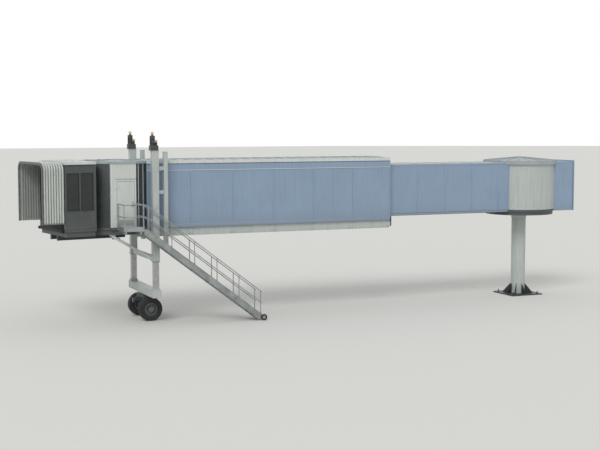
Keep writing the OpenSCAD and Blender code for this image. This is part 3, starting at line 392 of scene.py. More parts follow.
bm = bmesh.new()
for side in (-1, 1):
    sheet, rib = side * OUTER_HALF, side * (OUTER_HALF + RIB_OUT)
    for x in rib_places:
        for row_x in (x + 0.014, x + 0.056):
            for i in range(16):
                z = FLOOR_Z + 0.09 + i * 0.16
                add_bar(bm, (row_x, rib, z), (row_x, rib + side * 0.004, z), 0.008, 8, 0.004)
    for x in rib_places[:-1]:
        middle = x + (BAY + RIB_W) / 2
        high = (middle + 0.016, sheet + side * 0.004, FRIEZE_Z - 0.015)
        add_block(bm, (middle - 0.016, sheet, FLOOR_Z + 0.08), high)
    high = (OUTER_START, sheet + side * 0.012, FLOOR_Z + 0.075)
    add_block(bm, (OUTER_END, sheet, FLOOR_Z - 0.115), high, edge=0.003)
fit_piece("outer_wall_fixings", bm, "outer_tunnel", blue_enamel)

bm = bmesh.new()
for side in (-1, 1):
    rib = side * (OUTER_HALF + RIB_OUT)
    low = (OUTER_END, rib - side * 0.002, FRIEZE_Z - 0.004)
    add_block(bm, low, (OUTER_START, rib + side * 0.01, FRIEZE_Z + 0.022), edge=0.003)
    for i in range(1, BAYS):
        x = OUTER_END + i * BAY
        low = (x - 0.05, side * TRIM_FACE, ROOF_Z - 0.125)
        add_block(bm, low, (x + 0.05, side * (TRIM_FACE + 0.006), ROOF_Z + 0.015), edge=0.002)
fit_piece("outer_wall_beads", bm, "outer_tunnel", pale_trim)

bm = bmesh.new()
outer_fall = math.atan2(ROOF_RISE, OUTER_HALF)
for i in range(21):
    ridge = Matrix.Translation((OUTER_END + 0.3 + i * 0.6, 0, ROOF_Z + ROOF_RISE))
    for side in (-1, 1):
        turn = ridge @ Matrix.Rotation(-side * outer_fall, 4, "X")
        add_block(bm, (-0.006, 0, -0.003), (0.006, side * (OUTER_HALF - 0.02), 0.026), turn)
fit_piece("outer_roof_seams", bm, "outer_tunnel", roof_coat)

# Underframe.
# Two deep rails under the tunnel floor with cross members at the bays. Their flanges are
# rolled, and gusset plates are bolted on where each cross member meets a rail.

finish_nodes(grey_enamel, "underframe")
RAIL_FACE, RAIL_BACK = 1.36, 1.2
RAIL_LOW, RAIL_HIGH = 4.0, 4.38
FLANGE_T, GUSSET_T = 0.022, 0.012
CROSS_W = 0.12
cross_pitch = (OUTER_START - OUTER_END - CROSS_W) / BAYS
bm = bmesh.new()
for side in (-1, 1):
    for z in (RAIL_LOW, RAIL_HIGH - FLANGE_T):
        for y, out, edge in ((RAIL_FACE, 0.03, 0.003), (RAIL_BACK, -0.03, 0.0)):
            high = (OUTER_START, side * (y + out), z + FLANGE_T)
            add_block(bm, (OUTER_END, side * y, z), high, edge=edge)
    face = side * (RAIL_FACE + GUSSET_T)
    for i in range(BAYS + 1):
        # The first gusset is moved 100 mm in, clear of the tunnel's end
        x = OUTER_END + CROSS_W / 2 + max(i * cross_pitch, 0.1)
        low = (x - 0.11, side * RAIL_FACE, RAIL_LOW + 0.05)
        add_block(bm, low, (x + 0.11, face, RAIL_HIGH - 0.05), edge=0.003)
        for dx in (-0.07, 0, 0.07):
            for z in (RAIL_LOW + 0.1, RAIL_HIGH - 0.1):
                add_bolt(bm, (x + dx, face, z), (0, side, 0), 0.024)
fit_piece("underframe_plates", bm, "outer_tunnel", grey_enamel)

# Seal at the outer tunnel's open end.
# Three dark bars carry brush strips that close the gap round the inner tunnel. Two steel
# rollers below carry the inner tunnel's floor.

finish_nodes(black_rubber, "tunnel_end_frame")
finish_nodes(black_enamel, "tunnel_rollers")
BRUSH_HALF = 0.004
bm = bmesh.new()
for x in (OUTER_START - 0.075, OUTER_START - 0.055, OUTER_START - 0.035):
    x0, x1 = x - BRUSH_HALF, x + BRUSH_HALF
    for side in (-1, 1):
        low = (x0, side * (INNER_HALF + 0.0175), FLOOR_Z + 0.02)
        add_block(bm, low, (x1, side * (INNER_HALF + 0.032), INNER_ROOF + 0.01))
    add_block(bm, (x0, -1.23, INNER_ROOF + 0.016), (x1, 1.23, INNER_ROOF + 0.032))
fit_piece("end_seal_brushes", bm, "outer_tunnel", black_rubber)

# Cab rotunda.
# A fixed round floor and roof at the tunnel's end, which the cab turns round. The roof
# sheets meet in folded seams that stop short of the joint with the turning roof.

finish_nodes(roof_coat, "cab_rotunda_roof")
finish_nodes(floor_primer, "cab_rotunda_floor")

CAB_AXIS = Vector((-22.3, 0, 0))
# The roof's middle is a low cone, and seams end at the rotunda's edge or the tunnel's end
CONE_OUTER, CONE_INNER = 1.09, 0.3
SEAM_REACH, TUNNEL_REACH = 1.66, 1.07
SEAM_HALF, SEAM_SUNK, SEAM_H = 0.006, 0.002, 0.022
cone_top = ROOF_Z + ROOF_RISE
fall = Matrix.Rotation(math.atan2(ROOF_RISE, CONE_OUTER - CONE_INNER), 4, "Y")
bm = bmesh.new()
for i in range(12):
    bearing = math.tau * (i + 0.5) / 12
    turn = Matrix.Translation(CAB_AXIS) @ Matrix.Rotation(bearing, 4, "Z")
    reach = min(SEAM_REACH, TUNNEL_REACH / max(math.cos(bearing), 0.1))
    if reach > CONE_OUTER:
        low = (CONE_OUTER - 0.01, -SEAM_HALF, ROOF_Z - SEAM_SUNK)
        add_block(bm, low, (reach, SEAM_HALF, ROOF_Z + SEAM_H), turn)
    turn @= Matrix.Translation((CONE_INNER, 0, cone_top)) @ fall
    high = (min(reach, CONE_OUTER) - CONE_INNER, SEAM_HALF, SEAM_H)
    add_block(bm, (0, -SEAM_HALF, -SEAM_SUNK), high, turn)
cap = [(0.02, cone_top - 0.005), (CONE_INNER, cone_top - 0.005)]
cap += [(CONE_INNER, cone_top + 0.015), (0.02, cone_top + 0.035)]
add_turned(bm, cap, CAB_AXIS, 48)
fit_piece("cab_rotunda_roof_seams", bm, "outer_tunnel", roof_coat)

# Door wall and service door.
# A flat wall of light panels beside the landing, with a flush steel door. The door has a
# folded frame, a kick plate and a bar handle, and closes on a rubber seal.

panel_enamel = sprayed_enamel("off_white_enamel", "CFD5D1", "8A8A82", 0.4, 0.34, 0.7, 4.5)
finish_nodes(panel_enamel, "door_wall", "service_door")


def ground_steel(name, colour, roughness, smear):
    """Ground steel under a film of grease: bright, with fine upright grinding marks."""
    material, tree, shader, place = new_finish(name)
    # The grinding marks are 3 mm apart, and the grease smears 200 mm long
    drawn_out = add_node(tree, "Mapping", {"Vector": place, "Scale": (1, 1, 0.02)})
    marks = add_node(tree, "TexNoise", {"Vector": drawn_out, "Scale": 1000 / 3})
    smears = add_node(tree, "TexNoise", {"Vector": place, "Scale": 1000 / 200, "Detail": 4.0})
    share = add_node(tree, "MapRange", {"Value": smears, "From Min": 0.35, "From Max": 0.8})
    tones = {0: share, 6: linear(colour), 7: linear(smear)}
    tone = add_node(tree, "Mix", tones, data_type="RGBA")
    worn = {"To Min": roughness - 0.1, "To Max": roughness + 0.15}
    gloss = add_node(tree, "MapRange", {"Value": marks, **worn})
    bump = add_node(tree, "Bump", {"Height": marks, "Strength": 0.15, "Distance": 0.001})
    join(tree, shader, {"Base Color": tone, "Roughness": gloss, "Normal": bump, "Metallic": 0.9})
    return material


bare_steel = ground_steel("ground_greased_steel", "B0B3B3", 0.34, "9B9D9B")
DOOR_X0, DOOR_X1, DOOR_TOP = -22.7, -21.85, 6.6
WALL_X0, WALL_X1 = -22.97, -21.784
WALL_FACE, DOOR_FACE = -1.75, -1.738


def frame_door(bm, near, far, foot, y0, y1, edge=0.0):
    """Strips up both sides of the door and over it, from near to far outside its edges."""
    for x, way in ((DOOR_X0, -1), (DOOR_X1, 1)):
        high = (x + way * far, y1, DOOR_TOP + max(near, far))
        add_block(bm, (x + way * near, y0, foot), high, edge=edge)
    low = (DOOR_X0 - near, y0, DOOR_TOP + near)
    add_block(bm, low, (DOOR_X1 + near, y1, DOOR_TOP + far), edge=edge)


bm = bmesh.new()
sunk = WALL_FACE + 0.002
frame_door(bm, 0.004, 0.05, FLOOR_Z, WALL_FACE - 0.01, sunk, 0.003)
for x0, x1 in ((WALL_X0, WALL_X0 + 0.07), (WALL_X1 - 0.036, WALL_X1)):
    add_block(bm, (x0, WALL_FACE - 0.008, FLOOR_Z), (x1, sunk, CEILING_Z), edge=0.003)
low = (WALL_X0 + 0.07, WALL_FACE - 0.006, CEILING_Z - 0.09)
add_block(bm, low, (WALL_X1 - 0.036, sunk, CEILING_Z - 0.01), edge=0.002)
low = (DOOR_X0 - 0.05, WALL_FACE - 0.05, DOOR_TOP + 0.12)
add_block(bm, low, (DOOR_X1 + 0.05, sunk, DOOR_TOP + 0.132))
fit_piece("door_wall_trims", bm, "outer_tunnel", pale_trim)

# A kick plate with six screws, a lock plate with its cylinder, and the threshold
KICK_LOW, KICK_HIGH = 4.56, 4.84
LOCK_X, LOCK_LOW, LOCK_HIGH = -21.94, 5.42, 5.68
bm = bmesh.new()
low = (DOOR_X0 + 0.05, DOOR_FACE - 0.003, KICK_LOW)
add_block(bm, low, (DOOR_X1 - 0.05, DOOR_FACE, KICK_HIGH))
for x in (DOOR_X0 + 0.08, (DOOR_X0 + DOOR_X1) / 2, DOOR_X1 - 0.08):
    for z in (KICK_LOW + 0.025, KICK_HIGH - 0.025):
        add_bar(bm, (x, DOOR_FACE - 0.006, z), (x, DOOR_FACE - 0.002, z), 0.008, 10)
low = (LOCK_X - 0.05, DOOR_FACE - 0.006, LOCK_LOW)
add_block(bm, low, (LOCK_X + 0.05, DOOR_FACE, LOCK_HIGH), edge=0.002)
key_z = LOCK_LOW + 0.04
add_bar(bm, (LOCK_X, DOOR_FACE - 0.012, key_z), (LOCK_X, DOOR_FACE - 0.004, key_z), 0.016, 16)
low = (DOOR_X0 + 0.003, WALL_FACE, FLOOR_Z)
add_block(bm, low, (DOOR_X1 - 0.003, WALL_FACE + 0.15, FLOOR_Z + 0.004))
fit_piece("door_plates", bm, "outer_tunnel", bare_steel)

bm = bmesh.new()
frame_door(bm, -0.001, -0.005, FLOOR_Z + 0.005, DOOR_FACE - 0.006, DOOR_FACE + 0.038)
fit_piece("door_seal", bm, "outer_tunnel", black_rubber)

# Slat panels and curtains.
# Upright slats of coated aluminium close the sides. The flat runs are fixed, and the round
# ones are roller curtains whose leading edge is drawn along by the turning cab.


def coated_aluminium(name, colour, dust):
    """Coil-coated aluminium: an even satin coat that picks up pale dust."""
    material, tree, shader, place = new_finish(name)
    # Dust films are 300 mm across
    film = add_node(tree, "TexNoise", {"Vector": place, "Scale": 1000 / 300, "Detail": 5.0})
    spread = {"Value": film, "From Min": 0.35, "From Max": 0.8, "To Max": 0.45}
    share = add_node(tree, "MapRange", spread)
    tones = {0: share, 6: linear(colour), 7: linear(dust)}
    tone = add_node(tree, "Mix", tones, data_type="RGBA")
    gloss = add_node(tree, "MapRange", {"Value": film, "To Min": 0.3, "To Max": 0.6})
    join(tree, shader, {"Base Color": tone, "Roughness": gloss, "Metallic": 0.35})
    return material


# The slats' dark grey is partly their coat and partly painted shade, the dark of the shaded recess
# they close
slat_coat_recess_shade = coated_aluminium("coil_coated_aluminium", "44494B", "5A5C58")
finish_nodes(slat_coat_recess_shade, "slat_panels")

# Two light guide bars stand on the flat run between the door wall and the tunnel
RUN_START, RUN_END = Vector((-21.7797, -1.738, 0)), Vector((-21.2003, -1.375, 0))
run = RUN_END - RUN_START
run_turn = Matrix.Translation(RUN_START) @ Matrix.Rotation(math.atan2(run.y, run.x), 4, "Z")
bm = bmesh.new()
for share in (0.2, 0.66):
    x = run.length * share
    high = (x + 0.014, -0.002, CEILING_Z - 0.002)
    add_block(bm, (x - 0.014, -0.022, FLOOR_Z), high, run_turn, 0.003)
fit_piece("slat_guides", bm, "outer_tunnel", pale_trim)

SLAT_OUTER, SLAT_INNER = 1.74, 1.722


def make_curtain(name, node, first_deg, last_deg, slats):
    """A curtain of slats round the turning axis, from the fixed wall to the cab's edge."""
    bm = bmesh.new()
    step = (last_deg - first_deg) / slats
    slat_half = (SLAT_OUTER * math.radians(abs(step)) - 0.006) / 2
    turn = Matrix.Rotation(math.radians(180 + first_deg + step / 2), 4, "Z")
    low = (SLAT_INNER, -slat_half, FLOOR_Z + 0.004)
    high = (SLAT_OUTER, slat_half, CEILING_Z - 0.004)
    add_block(bm, low, high, Matrix.Translation(CAB_AXIS) @ turn, 0.005)
    bmesh.ops.spin(
        bm,
        geom=bm.verts[:] + bm.edges[:] + bm.faces[:],
        cent=CAB_AXIS,
        axis=(0, 0, 1),
        angle=math.radians(last_deg - first_deg - step),
        steps=slats - 1,
        use_duplicate=True,
    )
    # A thin backing joins the slats
    start, end = sorted((first_deg, last_deg))
    around = slats * 2, 180 + start, end - start
    backing = SLAT_INNER + 0.002, SLAT_INNER + 0.006
    add_ring(bm, *backing, FLOOR_Z + 0.01, CEILING_Z - 0.01, CAB_AXIS, *around)
    curtain = fit_piece(name, bm, None, slat_coat_recess_shade)
    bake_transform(curtain)
    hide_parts(node)


NEAR_END, FAR_END = 67.0, -127.2
make_curtain("near_roller_curtain", "near_curtain", NEAR_END, 40.2, 13)
make_curtain("far_roller_curtain", "far_curtain", FAR_END, -22.2, 50)

# The slats run in a track at the floor and the ceiling, and a post closes its far end
TRACK_INNER, TRACK_OUTER = 1.7, 1.7205
bm = bmesh.new()
for low, high in ((FLOOR_Z, FLOOR_Z + 0.016), (CEILING_Z - 0.024, CEILING_Z)):
    around = 96, 180 + FAR_END, NEAR_END - FAR_END
    add_ring(bm, TRACK_INNER, TRACK_OUTER, low, high, CAB_AXIS, *around)
turn = Matrix.Translation(CAB_AXIS) @ Matrix.Rotation(math.radians(180 + FAR_END), 4, "Z")
add_block(bm, (TRACK_INNER - 0.02, -0.035, FLOOR_Z), (TRACK_OUTER, 0.03, CEILING_Z), turn, 0.003)
fit_piece("curtain_tracks", bm, "outer_tunnel", slat_coat_recess_shade)

# Lift columns.
# Square steel tubes on both sides of the tunnel, with a ground and greased tube sliding in
# each. A slim mast stands beside each column, tied to it at three heights.

finish_nodes(grey_enamel, "lift_outer_columns", "lift_masts")
finish_nodes(bare_steel, "lift_inner_columns")

COLUMN_X, COLUMN_Y, COLUMN_HALF = -20.94, 1.9, 0.155
COLUMN_FOOT, COLUMN_TOP = 2.9, 7.98
column_places = {
    side: Matrix.Translation((COLUMN_X, side * COLUMN_Y, 0)) for side in (-1, 1)
}
bm = bmesh.new()
for side, column in column_places.items():
    for z, up in ((COLUMN_FOOT + 0.014, 1), (COLUMN_TOP - 0.014, -1)):
        for dx in (-0.163, 0, 0.163):
            for dy in (-0.163, 0, 0.163):
                if dx or dy:
                    add_bolt(bm, (dx, dy, z), (0, 0, up), 0.013, column)
    face, plate = side * COLUMN_HALF, side * (COLUMN_HALF + 0.01)
    # Two cover plates on the column's outer face, then the bolts of its two saddles
    for z0, z1 in ((3.45, 3.95), (5.3, 5.62)):
        add_block(bm, (-0.1, face - side * 0.001, z0), (0.1, plate, z1), column, 0.003)
        for x in (-0.08, 0.08):
            for z in (z0 + 0.025, (z0 + z1) / 2, z1 - 0.025):
                add_bolt(bm, (x, plate, z), (0, side, 0), 0.016, column)
    for saddle in (4.0, 6.97):
        for x in (-0.09, 0.09):
            for z in (saddle + 0.06, saddle + 0.15, saddle + 0.24):
                add_bolt(bm, (x, face, z), (0, side, 0), 0.026, column)
    # Collars at the mast's ends, then the bolts of the clips that tie it to the column
    mast = column @ Matrix.Translation((0.5, 0, 0))
    for z in (7.905, 3.59):
        add_block(bm, (-0.105, -0.105, z), (0.105, 0.105, z + 0.025), mast, 0.006)
    for clip in (3.78, 6.08, 7.17):
        for y in (-0.045, 0.045):
            add_bolt(bm, (0.185, y, clip + 0.08), (0, 0, 1), 0.018, column)
fit_piece("column_fittings", bm, "outer_tunnel", grey_enamel)

WIPER_IN, WIPER_OUT = 0.1255, 0.15
bm = bmesh.new()
for column in column_places.values():
    low, high = COLUMN_FOOT - 0.025, COLUMN_FOOT
    for way in (-1, 1):
        near, far = way * WIPER_IN, way * WIPER_OUT
        add_block(bm, (near, -WIPER_OUT, low), (far, WIPER_OUT, high), column, 0.004)
        add_block(bm, (-0.126, near, low), (0.126, far, high), column, 0.004)
fit_piece("column_wipers", bm, "outer_tunnel", black_rubber)

# Lift motors.
# A cast gear case on each column carries an upright finned motor with a fan cowl and a
# terminal box, and a brake housing beside it. All are dark machine enamel.

machine_enamel = sprayed_enamel("dark_machine_enamel", "3D4447", "5F5B50", 0.46, 0.4)
finish_nodes(machine_enamel, "lift_motors")
MOTOR_X, BRAKE_X = COLUMN_X - 0.105, COLUMN_X + 0.075
GEAR_TOP, COWL_FOOT, COWL_TOP = 8.21, 8.54, 8.65
bm = bmesh.new()
for side in (-1, 1):
    centre = Vector((MOTOR_X, side * COLUMN_Y, 0))
    motor = Matrix.Translation(centre)
    for i in range(28):
        turn = motor @ Matrix.Rotation(math.tau * i / 28, 4, "Z")
        add_block(bm, (0.106, -0.0025, GEAR_TOP + 0.03), (0.121, 0.0025, GEAR_TOP + 0.31), turn)
    for outer, low, high in (
        (0.128, GEAR_TOP, GEAR_TOP + 0.022),
        (0.127, COWL_FOOT - 0.005, COWL_FOOT + 0.01),
        (0.118, COWL_TOP - 0.02, COWL_TOP + 0.002),
    ):
        add_ring(bm, 0.09, outer, low, high, centre, 32)
    for i in range(4):
        r = 0.058 + i * 0.014
        add_ring(bm, r, r + 0.006, COWL_TOP - 0.002, COWL_TOP + 0.006, centre, 32)
    # The terminal box, its lid and its cable gland
    add_block(bm, (-0.055, side * 0.1, 8.32), (0.055, side * 0.17, 8.44), motor, 0.006)
    add_block(bm, (-0.06, side * 0.17, 8.315), (0.06, side * 0.176, 8.445), motor, 0.002)
    gland = centre + Vector((0.02, side * 0.14, 8.27))
    add_bar(bm, gland, gland + Vector((0, 0, 0.05)), 0.012, 10)
    for y in (side * COLUMN_Y - 0.12, side * COLUMN_Y + 0.12):
        for x in (-21.15, -21.06, -20.93, -20.82):
            add_bolt(bm, (x, y, GEAR_TOP - 0.002), (0, 0, 1), 0.016)
    y0, y1 = side * (COLUMN_Y + 0.133), side * (COLUMN_Y + 0.145)
    for i in range(5):
        x = MOTOR_X - 0.095 + i * 0.08
        add_block(bm, (x - 0.006, y0, 8.0), (x + 0.006, y1, 8.19), edge=0.002)
    brake = (BRAKE_X, side * COLUMN_Y, 0)
    add_ring(bm, 0.04, 0.066, GEAR_TOP, GEAR_TOP + 0.015, brake, 24)
    add_ring(bm, 0.04, 0.06, GEAR_TOP + 0.09, GEAR_TOP + 0.122, brake, 24)
fit_piece("motor_details", bm, "outer_tunnel", machine_enamel)

# Warning lamps.
# Amber lenses of moulded plastic, with raised rings, over turned bases. Each has a guard of
# bent wire. They are lit from inside, so they glow a little.

amber, tree, shader, place = new_finish("moulded_amber_lens")
# The moulded lens ripples every 6 mm
ripples = add_node(tree, "TexNoise", {"Vector": place, "Scale": 1000 / 6, "Detail": 0.0})
bump = add_node(tree, "Bump", {"Height": ripples, "Strength": 0.2, "Distance": 0.001})
join(tree, shader, {"Base Color": linear("E0A558"), "Roughness": 0.18, "Coat Weight": 0.4})
join(tree, shader, {"Emission Color": linear("FFD9A0"), "Emission Strength": 0.3, "Normal": bump})
finish_nodes(amber, "column_lamps")

bm = bmesh.new()
rings = bmesh.new()
for side in (-1, 1):
    for x, base, lens, top, r in (
        (MOTOR_X, 8.65, 8.71, 8.829, 0.055), (BRAKE_X, 8.33, 8.37, 8.46, 0.048)
    ):
        centre = Vector((x, side * COLUMN_Y, 0))
        cage = r + 0.012
        add_ring(bm, 0.03, r - 0.004, base, lens, centre, 24)
        add_ring(bm, 0.03, cage, lens, lens + 0.01, centre, 24)
        for i in range(4):
            z = lens + 0.018 + i * (top - lens - 0.026) / 4
            ridge = [(r - 0.002, z), (r + 0.003, z + 0.004), (r - 0.002, z + 0.012)]
            add_turned(rings, ridge, centre, 24)
        for i in range(6):
            a = math.tau * i / 6
            foot = centre + Vector((cage * math.cos(a), cage * math.sin(a), lens + 0.008))
            add_bar(bm, foot, foot + Vector((0, 0, top - lens - 0.012)), 0.0025, 6)
        for z in (top - 0.006, (top + lens) / 2):
            add_ring(bm, cage - 0.003, cage + 0.003, z, z + 0.005, centre, 24)
fit_piece("lamp_guards", bm, "outer_tunnel", machine_enamel)
fit_piece("lamp_lens_ribs", rings, "outer_tunnel", amber)

# Tie beam and brace.
# A square beam joins the feet of the two columns, and a diagonal brace runs from the near
# foot up to the ring under the cab's rotunda. Their ends are bolted plates.

finish_nodes(grey_enamel, "column_tie_beam", "rotunda_brace")
PLATE_Y = 1.72
bm = bmesh.new()
for side in (-1, 1):
    low = (COLUMN_X - 0.14, side * PLATE_Y, COLUMN_FOOT)
    high = (COLUMN_X + 0.14, side * (PLATE_Y + 0.024), COLUMN_FOOT + 0.26)
    add_block(bm, low, high, edge=0.004)
    for x in (COLUMN_X - 0.12, COLUMN_X + 0.12):
        for z in (COLUMN_FOOT + 0.03, COLUMN_FOOT + 0.13, COLUMN_FOOT + 0.23):
            add_bolt(bm, (x, side * PLATE_Y, z), (0, -side, 0), 0.02)
foot = Matrix.Translation((COLUMN_X - 0.215, -COLUMN_Y, COLUMN_FOOT + 0.15))
for y in (-0.07, 0.07):
    for z in (-0.08, 0.1):
        add_bolt(bm, (0, y, z), (-1, 0, 0), 0.024, foot)
fit_piece("tie_and_brace_plates", bm, "outer_tunnel", grey_enamel)

# Carriage crossbeam.
# A deep welded box beam under the two columns. Bolted collars hold the sliding tubes, and
# flange strips, stiffeners and end plates are welded on.

finish_nodes(grey_enamel, "carriage_crossbeam")
BEAM_LOW, BEAM_TOP = 1.22, 1.56
BEAM_HALF, BEAM_END = 0.19, 2.09
SOCKET_FACE = 0.1603
bm = bmesh.new()
for side, column in column_places.items():
    bolt_z = BEAM_TOP + 0.05
    for way in (-1, 1):
        for along in (-0.09, 0.09):
            add_bolt(bm, (way * SOCKET_FACE, along, bolt_z), (way, 0, 0), 0.022, column)
            add_bolt(bm, (along, way * SOCKET_FACE, bolt_z), (0, way, 0), 0.022, column)
        for y in (-0.4, 0, 0.4):
            spot = column @ Matrix.Translation((way * BEAM_HALF, -side * 0.9 + y, 0))
            add_block(bm, (-0.012, -0.008, BEAM_LOW), (0.012, 0.008, BEAM_TOP), spot)
    low = (COLUMN_X - 0.205, side * (BEAM_END - 0.014), BEAM_LOW - 0.006)
    high = (COLUMN_X + 0.205, side * (BEAM_END - 0.0005), BEAM_TOP + 0.006)
    add_block(bm, low, high, edge=0.004)
for way in (-1, 1):
    for z in (BEAM_LOW, BEAM_TOP - FLANGE_T):
        low = (COLUMN_X + way * BEAM_HALF, -BEAM_END, z)
        high = (COLUMN_X + way * (BEAM_HALF + FLANGE_T), BEAM_END, z + FLANGE_T)
        add_block(bm, low, high, edge=0.003)
fit_piece("crossbeam_plates", bm, "outer_tunnel", grey_enamel)

# Landing.
# A platform of ribbed plate on a welded frame, level with the cab's floor. Toe boards run
# round its open edges.


def hot_dip_zinc(name, colour, dark):
    """Hot-dip galvanised steel: a mottle of zinc flakes and patches gone dull."""
    material, tree, shader, place = new_finish(name)
    # Zinc flakes are 18 mm across, and the dull patches 350 mm
    flakes = add_node(tree, "TexVoronoi", {"Vector": place, "Scale": 1000 / 18})
    dull = add_node(tree, "TexNoise", {"Vector": place, "Scale": 1000 / 350, "Detail": 5.0})
    flake_tone = add_node(tree, "SeparateColor", {0: flakes.outputs["Color"]})
    patches = {"Value": dull, "From Min": 0.4, "From Max": 0.7, "To Max": 0.7}
    share = add_node(tree, "MapRange", patches)
    bright = linear(colour)
    mottle = {0: flake_tone, 6: bright, 7: darker(bright, 0.8)}
    tone = add_node(tree, "Mix", mottle, data_type="RGBA")
    worn = add_node(tree, "Mix", {0: share, 6: tone, 7: linear(dark)}, data_type="RGBA")
    gloss = add_node(tree, "MapRange", {"Value": flake_tone, "To Min": 0.42, "To Max": 0.62})
    join(tree, shader, {"Base Color": worn, "Roughness": gloss, "Metallic": 0.75})
    return material


zinc = hot_dip_zinc("hot_dip_galvanised_steel", "A9AFB0", "7B7E7C")
finish_nodes(zinc, "landing")
LANDING_TOP = 4.48
LANDING_X0, LANDING_X1 = -22.7, -21.75
LANDING_Y0, LANDING_Y1 = -2.95, -1.7503
bm = bmesh.new()
sunk, rib_top = LANDING_TOP - 0.001, LANDING_TOP + 0.003
for i in range(18):
    x = LANDING_X0 + 0.05 + i * 0.05
    add_block(bm, (x - 0.004, LANDING_Y0 + 0.03, sunk), (x + 0.004, WALL_FACE - 0.05, rib_top))
for y in (LANDING_Y0 + 0.02, LANDING_Y1 - 0.02):
    high = (LANDING_X1 - 0.01, y + 0.01, LANDING_TOP + 0.004)
    add_block(bm, (LANDING_X0 + 0.01, y - 0.01, sunk), high)
# Bolts hold the toe boards on two sides and the frame from below
toe_z, frame_z = LANDING_TOP + 0.05, LANDING_TOP - 0.09
for x in (-22.6, -22.3, -22.1, -21.85):
    add_bolt(bm, (x, LANDING_Y0, toe_z), (0, -1, 0), 0.012)
for y in (-2.8, -2.35, -1.9):
    add_bolt(bm, (LANDING_X0, y, toe_z), (-1, 0, 0), 0.012)
for x in (-22.6, -22.225, -21.85):
    for y in (-2.9, -1.82):
        add_bolt(bm, (x, y, frame_z), (0, 0, -1), 0.02)
fit_piece("landing_grating", bm, "outer_tunnel", zinc)

# Stair.
# Two folded channels carry treads of ribbed plate down to the ground. Each tread is bolted
# to the channels through its folded ends and has a bright nosing on its front edge.

finish_nodes(zinc, "stair_stringers", "stair_treads")
STAIR_Y, STRINGER_WEB = -2.55, 0.378
RUN, RISE = 0.245, 0.18667
TREADS = 23
NOSE_HALF = 0.365
bm = bmesh.new()
for i in range(1, TREADS + 1):
    x0 = LANDING_X1 + (i - 1) * RUN + 0.005
    x1 = LANDING_X1 + i * RUN + 0.025
    top = LANDING_TOP - i * RISE
    for n in range(6):
        x = x0 + 0.03 + n * 0.034
        add_block(bm, (x - 0.003, -2.9, top - 0.001), (x + 0.003, -2.2, top + 0.0025))
    y0, y1 = STAIR_Y - NOSE_HALF, STAIR_Y + NOSE_HALF
    add_block(bm, (x1 - 0.03, y0, top - 0.001), (x1 + 0.001, y1, top + 0.004))
    add_block(bm, (x1 - 0.002, y0, top - 0.041), (x1 + 0.003, y1, top + 0.002))
    for side in (-1, 1):
        for x in (x0 + 0.06, x1 - 0.08):
            add_bolt(bm, (x, STAIR_Y + side * STRINGER_WEB, top - 0.02), (0, side, 0), 0.014)
fit_piece("tread_ribs", bm, "outer_tunnel", zinc)

# Stair rails.
# Round tube handrails with a knee rail below on upright posts. The posts stand in sockets
# and the corners are closed with bent tube.

finish_nodes(zinc, "stair_rails")
SLOPE = math.atan2(RISE, RUN)
FLIGHT_X0, FLIGHT_X1 = LANDING_X1 + 0.2, -16.175
FLIGHT_Y0, FLIGHT_Y1 = STAIR_Y - 0.38, STAIR_Y + 0.38
SOCKET_R, SOCKET_H = 0.031, 0.09
post_foot = LANDING_TOP - 0.002
bm = bmesh.new()
for x in (-22.66, -21.79):
    add_bar(bm, (x, -2.9, post_foot), (x, -2.9, LANDING_TOP + SOCKET_H), SOCKET_R, 14)
    add_bar(bm, (x, -2.9, post_foot), (x, -2.9, LANDING_TOP + 0.008), 0.05, 16)
for y in (FLIGHT_Y0, FLIGHT_Y1):
    for i in range(6):
        x = FLIGHT_X0 + i * (FLIGHT_X1 - FLIGHT_X0) / 5
        z = LANDING_TOP + 0.01 - (x - LANDING_X1 - 0.15) * math.tan(SLOPE)
        foot = Matrix.Translation((x, y, z)) @ Matrix.Rotation(SLOPE, 4, "Y")
        add_block(bm, (-0.06, -0.027, -0.002), (0.06, 0.027, 0.006), foot, 0.002)
        for dx in (-0.048, 0.048):
            add_bolt(bm, (dx, 0, 0.006), (0, 0, 1), 0.012, foot)
        add_bar(bm, (x, y, z), (x, y, z + 0.07), 0.026, 14)
fit_piece("rail_sockets", bm, "outer_tunnel", zinc)

# Each landing rail bends down into the flight's rail, and a short one closes the wall side
RAIL_R = 0.021
EDGE_X, WALL_POST_Y = LANDING_X1 - 0.04, -1.81
bm = bmesh.new()
for y in (FLIGHT_Y1, WALL_POST_Y):
    add_bar(bm, (EDGE_X, y, post_foot), (EDGE_X, y, LANDING_TOP + 1.1), RAIL_R, 16)
    add_bar(bm, (EDGE_X, y, post_foot), (EDGE_X, y, LANDING_TOP + SOCKET_H), SOCKET_R, 14)
for rise, flight_rise in ((1.1, 1.05), (0.55, 0.53)):
    z, flight_z = LANDING_TOP + rise, LANDING_TOP + flight_rise
    joints = [(EDGE_X, WALL_POST_Y, z)]
    add_bar(bm, (EDGE_X, FLIGHT_Y1, z), joints[0], RAIL_R, 16)
    for y0, y1 in ((-2.895, FLIGHT_Y0), (FLIGHT_Y1, FLIGHT_Y1)):
        bend = [
            (EDGE_X, y0, z),
            (LANDING_X1 + 0.05, (y0 + y1) / 2, (z + flight_z) / 2 + 0.012),
            (LANDING_X1 + 0.12, y1, flight_z),
            (LANDING_X1 + 0.19, y1, flight_z - 0.04 * math.tan(SLOPE)),
        ]
        for a, b in zip(bend, bend[1:]):
            add_bar(bm, a, b, RAIL_R, 16)
        joints += bend[:3]
    for joint in joints:
        bmesh.ops.create_uvsphere(
            bm, u_segments=12, v_segments=8, radius=RAIL_R, matrix=Matrix.Translation(joint)
        )
fit_piece("rail_links", bm, "outer_tunnel", zinc)

# Stair rollers.
# Two wheels with rubber tyres on a through axle let the stair's foot follow the bridge over
# the ground. Their zinc-coated hubs are set back inside the tyres.


def mirrored(half, middle=()):
    """An outline of one half, its middle and the mirror image of the half."""
    return [*half, *middle, *[(r, -z) for r, z in reversed(half)]]


